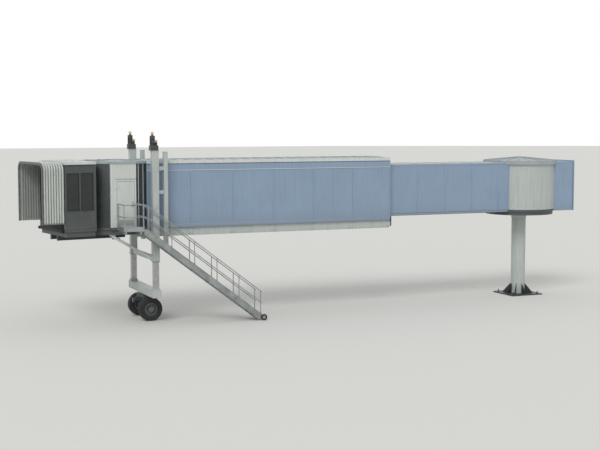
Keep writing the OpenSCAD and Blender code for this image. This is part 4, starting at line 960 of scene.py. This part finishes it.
tyre_rubber = moulded_rubber("cured_tyre_rubber", "232425", "4C4A45", 0.82)
ROLLER_X, ROLLER_R, ROLLER_OUT = -16.015, 0.15, 0.4303
tyre_side = [(0.083, -0.026), (0.118, -0.03), (0.14, -0.027), (0.149, -0.017)]
hub_side = [(0.02, -0.027), (0.034, -0.027), (0.036, -0.012), (0.066, -0.008)]
hub_side += [(0.07, -0.024), (0.084, -0.024)]
tyres = bmesh.new()
hubs = bmesh.new()
for side in (-1, 1):
    add_turned(tyres, mirrored(tyre_side, [(ROLLER_R, 0.0)]), (0, 0, side * ROLLER_OUT), 40)
    add_turned(hubs, mirrored(hub_side), (0, 0, side * ROLLER_OUT), 40)
    disc = Matrix.Translation((0, 0, side * (ROLLER_OUT + 0.009)))
    add_bolt_ring(hubs, disc, 0.053, 5, 0.01, side)
add_bar(hubs, (0, 0, -0.454), (0, 0, 0.454), 0.0215, 20)
upright = Matrix.Translation((ROLLER_X, STAIR_Y, ROLLER_R)) @ Matrix.Rotation(math.pi / 2, 4, "X")
roller_tyres = fit_piece(
    "stair_roller_tyres", tyres, "outer_tunnel", tyre_rubber, turn=upright
)
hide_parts("stair_rollers")
fit_piece("stair_roller_hubs", hubs, "outer_tunnel", zinc, turn=upright)

# Cab.
# The turning cab has side walls with dark windows, an open front and a flat roof with a
# light edge. Gaskets hold the panes, and covers hide the joints of the sheets.

cab_enamel = sprayed_enamel("dark_grey_enamel", "434A4C", "6B675C", 0.45, 0.35, 0.7, 4.35)
pale_roof = sprayed_enamel("pale_roof_enamel", "D2D7D5", "9A9C96", 0.42, 0.35, 1.0, run_mm=420)
finish_nodes(cab_enamel, "cab_walls")
finish_nodes(floor_primer, "cab_floor")
finish_nodes(pale_roof, "cab_roof")

CAB_TURN = Matrix.Translation(CAB_AXIS) @ Matrix.Rotation(math.radians(9), 4, "Z")
CAB_HALF = 1.6
CAB_FRONT, CAB_BACK = -3.1, -1.67
SILL_Z, HEAD_Z = 5.35, 7.0
WINDOWS = ((-3.01, -2.43), (-2.34, -1.76))
LIP_OUT, LIP_IN = 0.012, 0.022
bm = bmesh.new()
for side in (-1, 1):
    y0, y1 = side * (CAB_HALF - 0.019), side * (CAB_HALF + 0.005)
    low, high = SILL_Z - LIP_OUT, HEAD_Z + LIP_OUT
    for x0, x1 in WINDOWS:
        for corner, opposite in (
            ((x0 - LIP_OUT, y0, low), (x0 + LIP_IN, y1, high)),
            ((x1 - LIP_IN, y0, low), (x1 + LIP_OUT, y1, high)),
            ((x0, y0, low), (x1, y1, SILL_Z + LIP_IN)),
            ((x0, y0, HEAD_Z - LIP_IN), (x1, y1, high)),
        ):
            add_block(bm, corner, opposite, CAB_TURN, 0.004)
fit_piece("window_gaskets", bm, "cab", black_rubber)

# Rivets, a plinth, a roof edge, sills and the screws of the front edge
bm = bmesh.new()
for side in (-1, 1):
    face = side * CAB_HALF
    for x in (-3.055, -2.385, -1.715):
        for i in range(16):
            head = CAB_TURN @ Vector((x, face, FLOOR_Z + 0.12 + i * 0.178))
            out = CAB_TURN.to_3x3() @ Vector((0, side * 0.004, 0))
            add_bar(bm, head, head + out, 0.009, 8, 0.004)
    high = (CAB_BACK, face + side * 0.012, FLOOR_Z + 0.075)
    add_block(bm, (CAB_FRONT, face, FLOOR_Z), high, CAB_TURN, 0.003)
    ledge = face + side * 0.03
    add_block(bm, (CAB_FRONT, face, 7.35), (CAB_BACK, ledge, 7.362), CAB_TURN, 0.002)
    for x0, x1 in WINDOWS:
        high = (x1 + 0.02, ledge, SILL_Z - 0.018)
        add_block(bm, (x0 - 0.02, face, SILL_Z - 0.03), high, CAB_TURN, 0.002)
    for i in range(9):
        seat = (CAB_FRONT, side * (CAB_HALF - 0.003), FLOOR_Z + 0.2 + i * 0.32)
        add_bolt(bm, seat, (-1, 0, 0), 0.016, CAB_TURN)
fit_piece("cab_wall_covers", bm, "cab", cab_enamel)

# Each curtain's leading edge is held in a lead bar on the cab's way in
THROAT_HALF = 0.95
bm = bmesh.new()
for side in (-1, 1):
    y0, y1 = side * (THROAT_HALF - 0.057), side * (THROAT_HALF + 0.001)
    high = (-1.4955, y1, CEILING_Z - 0.006)
    add_block(bm, (-1.57, y0, FLOOR_Z + 0.006), high, CAB_TURN, 0.004)
    for i in range(12):
        add_bolt(bm, (-1.535, y0, FLOOR_Z + 0.12 + i * 0.24), (0, -side, 0), 0.012, CAB_TURN)
fit_piece("curtain_lead_bars", bm, "cab", slat_coat_recess_shade)

bm = bmesh.new()
cab_fall = math.atan2(ROOF_RISE, CAB_HALF)
for i in range(4):
    ridge = CAB_TURN @ Matrix.Translation((-2.95 + i * 0.34, 0, ROOF_Z + ROOF_RISE))
    for side in (-1, 1):
        turn = ridge @ Matrix.Rotation(-side * cab_fall, 4, "X")
        add_block(bm, (-0.006, 0, -0.003), (0.006, side * (CAB_HALF - 0.02), 0.024), turn)
fit_piece("cab_roof_seams", bm, "cab", pale_roof)

# Cab windows.
# Panes of tinted toughened glass, 12 mm thick and almost black from outside.

glass, tree, shader, place = new_finish("tinted_toughened_glass")
# A film of dust 400 mm across dulls the panes in patches
film = add_node(tree, "TexNoise", {"Vector": place, "Scale": 1000 / 400, "Detail": 5.0})
dulled = {"From Min": 0.35, "From Max": 0.7, "To Min": 0.06, "To Max": 0.3}
gloss = add_node(tree, "MapRange", {"Value": film, **dulled})
join(tree, shader, {"Base Color": linear("15191B"), "Roughness": gloss})
join(tree, shader, {"IOR": 1.52, "Coat Weight": 0.3})
finish_nodes(glass, "cab_windows")

# Cab turning frame.
# Two arms reach from the pivot under the fixed rotunda to the cab's floor frame. Bolted
# plates close their ends.

finish_nodes(black_enamel, "cab_turn_frame")
ARM_LOW, ARM_TOP = 3.93, 4.13
ARM_IN, ARM_OUT = 0.33, 0.48
bm = bmesh.new()
hub_z = ARM_LOW - 0.014
add_ring(bm, 0.12, 0.2, hub_z, ARM_LOW, CAB_AXIS, 48)
hub = Matrix.Translation(CAB_AXIS + Vector((0, 0, hub_z)))
add_bolt_ring(bm, hub, 0.17, 12, 0.02, -1)
for side in (-1, 1):
    low = (-3.032, side * (ARM_IN - 0.01), ARM_LOW - 0.01)
    high = (-3.02, side * (ARM_OUT + 0.01), ARM_TOP + 0.01)
    add_block(bm, low, high, CAB_TURN, 0.003)
    for x in (-2.9, -2.4, -1.9):
        low = (x - 0.06, side * (ARM_IN + 0.02), ARM_LOW - 0.004)
        add_block(bm, low, (x + 0.06, side * (ARM_OUT - 0.02), ARM_LOW), CAB_TURN)
fit_piece("turn_frame_plates", bm, "cab", black_enamel)

# Cab bumper.
# A hollow moulded rubber fender along the cab floor's front edge, clamped under a bolted
# steel strip.

finish_nodes(black_rubber, "cab_bumper")
bm = bmesh.new()
CLAMP_X, CLAMP_Z = -3.153, 4.474
low = (CLAMP_X, -1.38, CLAMP_Z - 0.012)
add_block(bm, low, (CLAMP_X + 0.0135, 1.38, CLAMP_Z + 0.012), CAB_TURN, 0.003)
for i in range(15):
    add_bolt(bm, (CLAMP_X, -1.33 + i * 0.19, CLAMP_Z), (-1, 0, 0), 0.012, CAB_TURN)
fit_piece("bumper_clamp", bm, "cab", zinc)

# Canopy.
# A folded hood of coated cloth, sewn as one sheet over light hoops, with rounded upper
# corners. It stands between a clamp frame on the cab and a padded hoop at its front.


def coated_cloth(name, colour, dust):
    """PVC-coated polyester cloth: a low sheen over a plain weave, with painted shade deep in its
    folds and dust in its rain runs.
    """
    material, tree, shader, place = new_finish(name)
    # The weave is 1 mm, drawn 12 mm so that it shows; soft mottling is 250 mm across
    weave = add_node(tree, "TexNoise", {"Vector": place, "Scale": 1000 / 12, "Detail": 2.0})
    mottle = add_node(tree, "TexNoise", {"Vector": place, "Scale": 1000 / 250, "Detail": 4.0})
    # Rain runs are 60 mm wide
    drawn_out = add_node(tree, "Mapping", {"Vector": place, "Scale": (1, 1, 0.08)})
    runs = add_node(tree, "TexNoise", {"Vector": drawn_out, "Scale": 1000 / 60, "Detail": 3.0})
    # The piece's fold attribute is 0 deep in a fold and 1 on its crest; deep in a fold the cloth
    # is darkened to the dust colour as painted shade
    fold = add_node(tree, "Attribute", attribute_name="fold").outputs["Fac"]
    depth = {"Value": fold, "From Min": 0.0, "From Max": 0.75, "To Min": 0.75, "To Max": 0.0}
    fold_shade = add_node(tree, "MapRange", depth)
    wash = {"Value": runs, "From Min": 0.5, "From Max": 0.75, "To Max": 0.3}
    streaks = add_node(tree, "MapRange", wash)
    # The painted fold shade and the rain runs both mix in the dust colour
    share = add_node(tree, "Math", {0: fold_shade, 1: streaks}, operation="ADD", use_clamp=True)
    fresh = linear(colour)
    tone = add_node(tree, "Mix", {0: mottle, 6: fresh, 7: darker(fresh, 0.85)}, data_type="RGBA")
    soiled = add_node(tree, "Mix", {0: share, 6: tone, 7: linear(dust)}, data_type="RGBA")
    bump = add_node(tree, "Bump", {"Height": weave, "Strength": 0.35, "Distance": 0.002})
    join(tree, shader, {"Base Color": soiled, "Normal": bump})
    join(tree, shader, {"Roughness": 0.58, "Sheen Weight": 0.15})
    return material


canopy_cloth = coated_cloth("pvc_coated_polyester", "C3C8C3", "6C6D67")
CANOPY_HALF, CANOPY_TOP = 1.47, 7.39
CORNER_R = 0.26
HEM_Z = 4.75
CORNER_Z = CANOPY_TOP - CORNER_R
CORNER_Y = CANOPY_HALF - CORNER_R


def draw_over_cab(bm, outline, closed, foot=HEM_Z, step=0.09, whole=True):
    """Draws an outline of (forward, outward) points up a side, over the top and down."""
    chain = [bm.verts.new((x, -CANOPY_HALF - out, foot)) for x, out in outline]
    edges = [bm.edges.new(pair) for pair in zip(chain, chain[1:] + chain[:1] * closed)]
    first = list(edges)
    up, across = CORNER_Z - foot, 2 * CORNER_Y
    n_up, n_across = round(up / step), round(across / step)
    moves = (
        ((0, 0, 0), 0, Vector((0, 0, up / n_up)), n_up),
        ((0, -CORNER_Y, CORNER_Z), -90, Vector(), 10),
        ((0, 0, 0), 0, Vector((0, across / n_across, 0)), n_across),
        ((0, CORNER_Y, CORNER_Z), -90, Vector(), 10),
        ((0, 0, 0), 0, Vector((0, 0, -up / n_up)), n_up),
    )
    for centre, degrees, drift, steps in moves if whole else moves[:1]:
        ends = list({v for e in edges for v in e.verts})
        swept = bmesh.ops.spin(
            bm,
            geom=ends + edges,
            cent=centre,
            axis=(1, 0, 0),
            dvec=drift,
            angle=math.radians(degrees),
            steps=steps,
        )
        edges = [g for g in swept["geom_last"] if isinstance(g, bmesh.types.BMEdge)]
    if closed:
        bmesh.ops.edgenet_fill(bm, edges=first)
        bmesh.ops.edgenet_fill(bm, edges=edges)


def outward(point):
    """How far a point stands out from the canopy's inner line, and the way outwards."""
    side = -1 if point.y < 0 else 1
    y, z = abs(point.y), point.z
    if z < CORNER_Z:
        return y - CANOPY_HALF, Vector((0, side, 0))
    if y < CORNER_Y:
        return z - CANOPY_TOP, Vector((0, 0, 1))
    spoke = Vector((0, side * (y - CORNER_Y), z - CORNER_Z))
    return spoke.length - CORNER_R, spoke.normalized()


def thicken(piece, thickness):
    """Gives a cloth piece its thickness, half of it on each side."""
    skin = piece.modifiers.new("cloth_thickness", "SOLIDIFY")
    skin.thickness = thickness
    skin.offset = 0


FOLDS, FOLD_PITCH, FOLD_DEPTH = 8, 0.122, 0.106
FOLD_POINTS = 14
CANOPY_X = -3.102
fold_line = []
for i in range(FOLDS):
    for n in range(FOLD_POINTS):
        t = n / FOLD_POINTS
        out = FOLD_DEPTH * math.sin(math.pi * t) ** 0.62
        fold_line.append((CANOPY_X - (i + t) * FOLD_PITCH, out))
fold_line.append((CANOPY_X - FOLDS * FOLD_PITCH, 0.0))
bm = bmesh.new()
draw_over_cab(bm, fold_line, False)
# The cloth wrinkles more towards a fold's crest, and its top sags 20 mm between the corners
crest = bm.verts.layers.float.new("fold")
for v in bm.verts:
    out, away = outward(v.co)
    share = max(0.0, min(1.0, out / FOLD_DEPTH))
    # The fold value also sets how much painted shade the cloth gets in its folds
    v[crest] = share
    slow = noise.noise(Vector((v.co.x * 3, v.co.y * 1.4, v.co.z * 1.4)) + Vector((7, 3, 1)))
    quick = noise.noise(Vector((v.co.x * 9, v.co.y * 5, v.co.z * 5)) + Vector((2, 9, 5)))
    v.co += away * share * (0.012 * slow + 0.006 * quick - 0.008)
    v.co.x += share * 0.01 * noise.noise(v.co * 2.5 + Vector((4, 4, 8)))
    if out > -0.01 and away.z > 0.9:
        v.co.z -= 0.02 * share * math.cos(v.co.y / CORNER_Y * math.pi / 2)
canopy = fit_piece("canopy_folds", bm, "cab", canopy_cloth, 75, CAB_TURN)
thicken(canopy, 0.003)
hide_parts("canopy_bellows")

# Hem binding.
# A folded strip of the same cloth sewn along the hood's lower edge on both sides.

bm = bmesh.new()
hem_line = [(x, out + 0.003) for x, out in fold_line]
draw_over_cab(bm, hem_line, False, HEM_Z + 0.001, 0.03, False)
for v in [v for v in bm.verts if v.co.z > HEM_Z + 0.07]:
    bm.verts.remove(v)
bmesh.ops.mirror(bm, geom=bm.verts[:] + bm.edges[:] + bm.faces[:], axis="Y", merge_dist=0)
# The binding has no fold values, so the cloth's painted fold shade darkens it all over, as deep in
# a fold
binding = fit_piece("canopy_hem", bm, "cab", canopy_cloth, 75, CAB_TURN)
thicken(binding, 0.005)

# Canopy bows.
# Slim tubes bent over the cab's opening hold the hood's inner folds. They are zinc coated and
# end in flattened, bolted feet above the hem.

BOW_R, BOW_FOOT = 0.008, HEM_Z + 0.03
ring = [math.tau * n / 8 for n in range(8)]
bm = bmesh.new()
for i in range(1, FOLDS):
    bow_x = CANOPY_X - i * FOLD_PITCH
    bow = [(bow_x + BOW_R * math.cos(a), BOW_R * math.sin(a) - BOW_R - 0.002) for a in ring]
    draw_over_cab(bm, bow, True, BOW_FOOT, 0.3)
    for side in (-1, 1):
        low = (bow_x - 0.014, side * (CANOPY_HALF - 0.013), BOW_FOOT - 0.025)
        high = (bow_x + 0.014, side * (CANOPY_HALF - 0.007), BOW_FOOT + 0.05)
        add_block(bm, low, high, edge=0.002)
fit_piece("canopy_bows", bm, "cab", zinc, turn=CAB_TURN)

# Canopy clamp frame.
# An angle frame screwed round the cab's front opening. It grips the hood's rear edge.

bm = bmesh.new()
clamp = [(CAB_FRONT, -0.012), (CAB_FRONT, 0.004)]
clamp += [(CAB_FRONT - 0.028, 0.004), (CAB_FRONT - 0.028, -0.012)]
draw_over_cab(bm, clamp, True, HEM_Z, 0.6)
fit_piece("canopy_clamp_frame", bm, "cab", machine_enamel, turn=CAB_TURN)

# Canopy front pad.
# A foam tube in a sleeve of coated cloth, laced over the front hoop. Seams cross the sleeve
# every 400 mm.

pad_cloth = coated_cloth("foam_filled_coated_sleeve", "5A5F60", "45453F")
PAD_X, PAD_OUT = -4.1116, 0.049
SEAM_PITCH = 0.4
pad_line = []
for i in range(20):
    a = math.tau * i / 20
    c, s = math.cos(a), math.sin(a)
    x = PAD_X - 0.0345 * math.copysign(abs(c) ** 0.7, c)
    out = PAD_OUT + 0.0595 * math.copysign(abs(s) ** 0.75, s)
    pad_line.append((x, out))
bm = bmesh.new()
draw_over_cab(bm, pad_line, True, HEM_Z, 0.05)
# Each seam pinches the sleeve in, except round the corners
crest = bm.verts.layers.float.new("fold")
for v in bm.verts:
    out, away = outward(v.co)
    if not 0.1 <= away.z <= 0.9:
        along = v.co.y if away.z > 0.9 else v.co.z
        pinch = math.exp(-(((along / SEAM_PITCH) % 1.0 - 0.5) / 0.06) ** 2)
        v.co -= away * (out - PAD_OUT) * 0.1 * pinch
        v.co.x += (PAD_X - v.co.x) * 0.16 * pinch
    v.co += away * 0.003 * noise.noise(v.co * 4)
    # An even fold value of 0.6 puts 15 % of the dust colour, the cloth's painted fold shade, over
    # the whole sleeve
    v[crest] = 0.6
pad = fit_piece("canopy_front_pad", bm, "cab", pad_cloth, 60, CAB_TURN)
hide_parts("canopy_hoop")

# Wheel bogie.
# A welded bolster turns under the crossbeam on a large bearing and carries the axle in two
# legs. Cover plates and bolts close the bearing and the axle boxes.

bogie_enamel = sprayed_enamel("bogie_grey_enamel", "565D5F", "4A463B", 0.5, 0.5)
finish_nodes(bogie_enamel, "bogie_frame")
AXLE_Z, LEG_FACE = 0.55, 0.6
BOLSTER_LOW, BOLSTER_TOP, BOLSTER_HALF = 0.78, 1.16, 0.22
bm = bmesh.new()
ring_top = BOLSTER_TOP + FLANGE_T
add_ring(bm, 0.3, 0.41, BOLSTER_TOP, ring_top, (COLUMN_X, 0, 0))
add_bolt_ring(bm, Matrix.Translation((COLUMN_X, 0, ring_top)), 0.385, 24, 0.02)
for way in (-1, 1):
    for z in (BOLSTER_LOW, BOLSTER_TOP - FLANGE_T):
        low = (COLUMN_X + way * BOLSTER_HALF, -LEG_FACE, z)
        high = (COLUMN_X + way * (BOLSTER_HALF + 0.03), LEG_FACE, z + FLANGE_T)
        add_block(bm, low, high, edge=0.003)
    for y in (-0.56, 0, 0.56):
        low = (COLUMN_X + way * 0.218, y - 0.007, BOLSTER_LOW + 0.02)
        add_block(bm, low, (COLUMN_X + way * 0.247, y + 0.007, BOLSTER_TOP - 0.02))
    x = COLUMN_X + way * 0.15
    for side in (-1, 1):
        low = (x - 0.01, side * 0.53, 0.42)
        add_block(bm, low, (x + 0.01, side * LEG_FACE, 0.76), edge=0.004)
lying = Matrix.Rotation(math.radians(90), 4, "X")
for side in (-1, 1):
    box = Matrix.Translation((COLUMN_X, side * LEG_FACE, AXLE_Z)) @ lying
    add_bolt_ring(bm, box, 0.095, 6, 0.02, -side)
fit_piece("bogie_plates", bm, "bogie", bogie_enamel)

# Drive motors.
# Two hydraulic drive units stand out of the bolster, one to each side, in dark enamel with
# cooling fins and a bolted flange.

finish_nodes(machine_enamel, "drive_motors")
DRIVE_Y, DRIVE_Z = 0.3, 0.93
bm = bmesh.new()
for way in (-1, 1):
    drive = Matrix.Translation((COLUMN_X, way * DRIVE_Y, DRIVE_Z))
    for i in range(24):
        turn = drive @ Matrix.Rotation(math.tau * i / 24, 4, "X")
        add_block(bm, (way * 0.36, -0.003, 0.1), (way * 0.58, 0.003, 0.118), turn)
    flange = drive @ Matrix.Translation((way * 0.34, 0, 0)) @ Matrix.Rotation(math.pi / 2, 4, "Y")
    add_bolt_ring(bm, flange, 0.113, 8, 0.014, way, 0.5)
    add_block(bm, (way * 0.4, -0.05, 0.1), (way * 0.52, 0.05, 0.17), drive, 0.005)
fit_piece("drive_motor_fins", bm, "bogie", machine_enamel)

# Wheels.
# Solid rubber tyres with worn grooves and shoulder lugs, pressed on steel rims that are held
# by a ring of nuts.

finish_nodes(bogie_enamel, "near_hub", "far_hub")
TYRE_R, GROOVE_R = 0.5495, 0.534
LUGS = 44
tyre_side = [(0.292, -0.15), (0.32, -0.166), (0.38, -0.186), (0.44, -0.19), (0.5, -0.184)]
tyre_side += [(0.534, -0.168), (0.547, -0.14)]
grooves = []
for y in (-0.085, 0.0, 0.085):
    grooves += [(TYRE_R, y - 0.011), (GROOVE_R, y - 0.008), (GROOVE_R, y + 0.008)]
    grooves += [(TYRE_R, y + 0.011)]
for side, body, node in ((-1, "near_wheel", "near_tyre"), (1, "far_wheel", "far_tyre")):
    wheel = Matrix.Translation((COLUMN_X, side * 0.9, AXLE_Z)) @ lying
    bm = bmesh.new()
    add_turned(bm, mirrored(tyre_side, grooves), (0, 0, 0), 96)
    for edge in (-1, 1):
        for i in range(LUGS):
            turn = Matrix.Rotation(math.tau * (i + 0.25 * edge) / LUGS, 4, "Z")
            add_block(bm, (0.5, -0.021, edge * 0.125), (0.5485, 0.021, edge * 0.176), turn)
        for r in (0.4, 0.47):
            add_ring(bm, r, r + 0.008, *sorted((edge * 0.183, edge * 0.1895)))
    name = body.replace("wheel", "tyre_tread")
    tyre = fit_piece(name, bm, body, tyre_rubber, 30, wheel)
    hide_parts(node)
    bm = bmesh.new()
    for y, radius, count, across in ((0.92, 0.2, 10, 0.026), (1.08, 0.09, 6, 0.012)):
        face = Matrix.Translation((COLUMN_X, side * y, AXLE_Z)) @ lying
        add_bolt_ring(bm, face, radius, count, across, -side)
    fit_piece(body + "_nuts", bm, body, zinc)

# Floor, light and camera.
# A pale matt floor, a wide soft key from the front left and an even surround.

floor_mesh = bpy.data.meshes.new("studio_floor")
bm = bmesh.new()
bmesh.ops.create_grid(bm, x_segments=1, y_segments=1, size=400)
bm.to_mesh(floor_mesh)
bm.free()
studio_floor = bpy.data.objects.new("studio_floor", floor_mesh)
bpy.context.scene.collection.objects.link(studio_floor)
plaster, tree, shader, place = new_finish("pale_matt_floor")
join(tree, shader, {"Base Color": linear("DADAD6"), "Roughness": 0.95})
join(tree, shader, {"Specular IOR Level": 0.1})
floor_mesh.materials.append(plaster)

# The surround lights the object at 0.7 and is seen, also in gloss and glass, as white
scene = bpy.context.scene
world = bpy.data.worlds.new("studio_surround")
world.use_nodes = True
scene.world = world
tree = world.node_tree
rays = add_node(tree, "LightPath").outputs
glossy = {0: rays["Is Camera Ray"], 1: rays["Is Glossy Ray"]}
seen = add_node(tree, "Math", glossy, operation="MAXIMUM")
shown = add_node(tree, "Math", {0: seen, 1: rays["Is Transmission Ray"]}, operation="MAXIMUM")
level = add_node(tree, "MapRange", {"Value": shown, "To Min": 0.7, "To Max": 1.0})
join(tree, tree.nodes["Background"], {"Color": (1, 1, 1, 1), "Strength": level})

sun = bpy.data.lights.new("key", "SUN")
sun.energy = 1.2
sun.angle = math.radians(25)
key = bpy.data.objects.new("key", sun)
key.rotation_euler = (math.radians(48), 0, math.radians(-38))
scene.collection.objects.link(key)

camera = bpy.data.objects.new("camera", bpy.data.cameras.new("camera"))
camera.location = (-36.5, -54.9, 9.2)
aim = Vector((-13.1, -0.46, 4.2))
camera.rotation_euler = (aim - camera.location).to_track_quat("-Z", "Y").to_euler()
camera.data.lens = 72
camera.data.clip_end = 500
scene.collection.objects.link(camera)
scene.camera = camera

scene.view_settings.view_transform = "Standard"
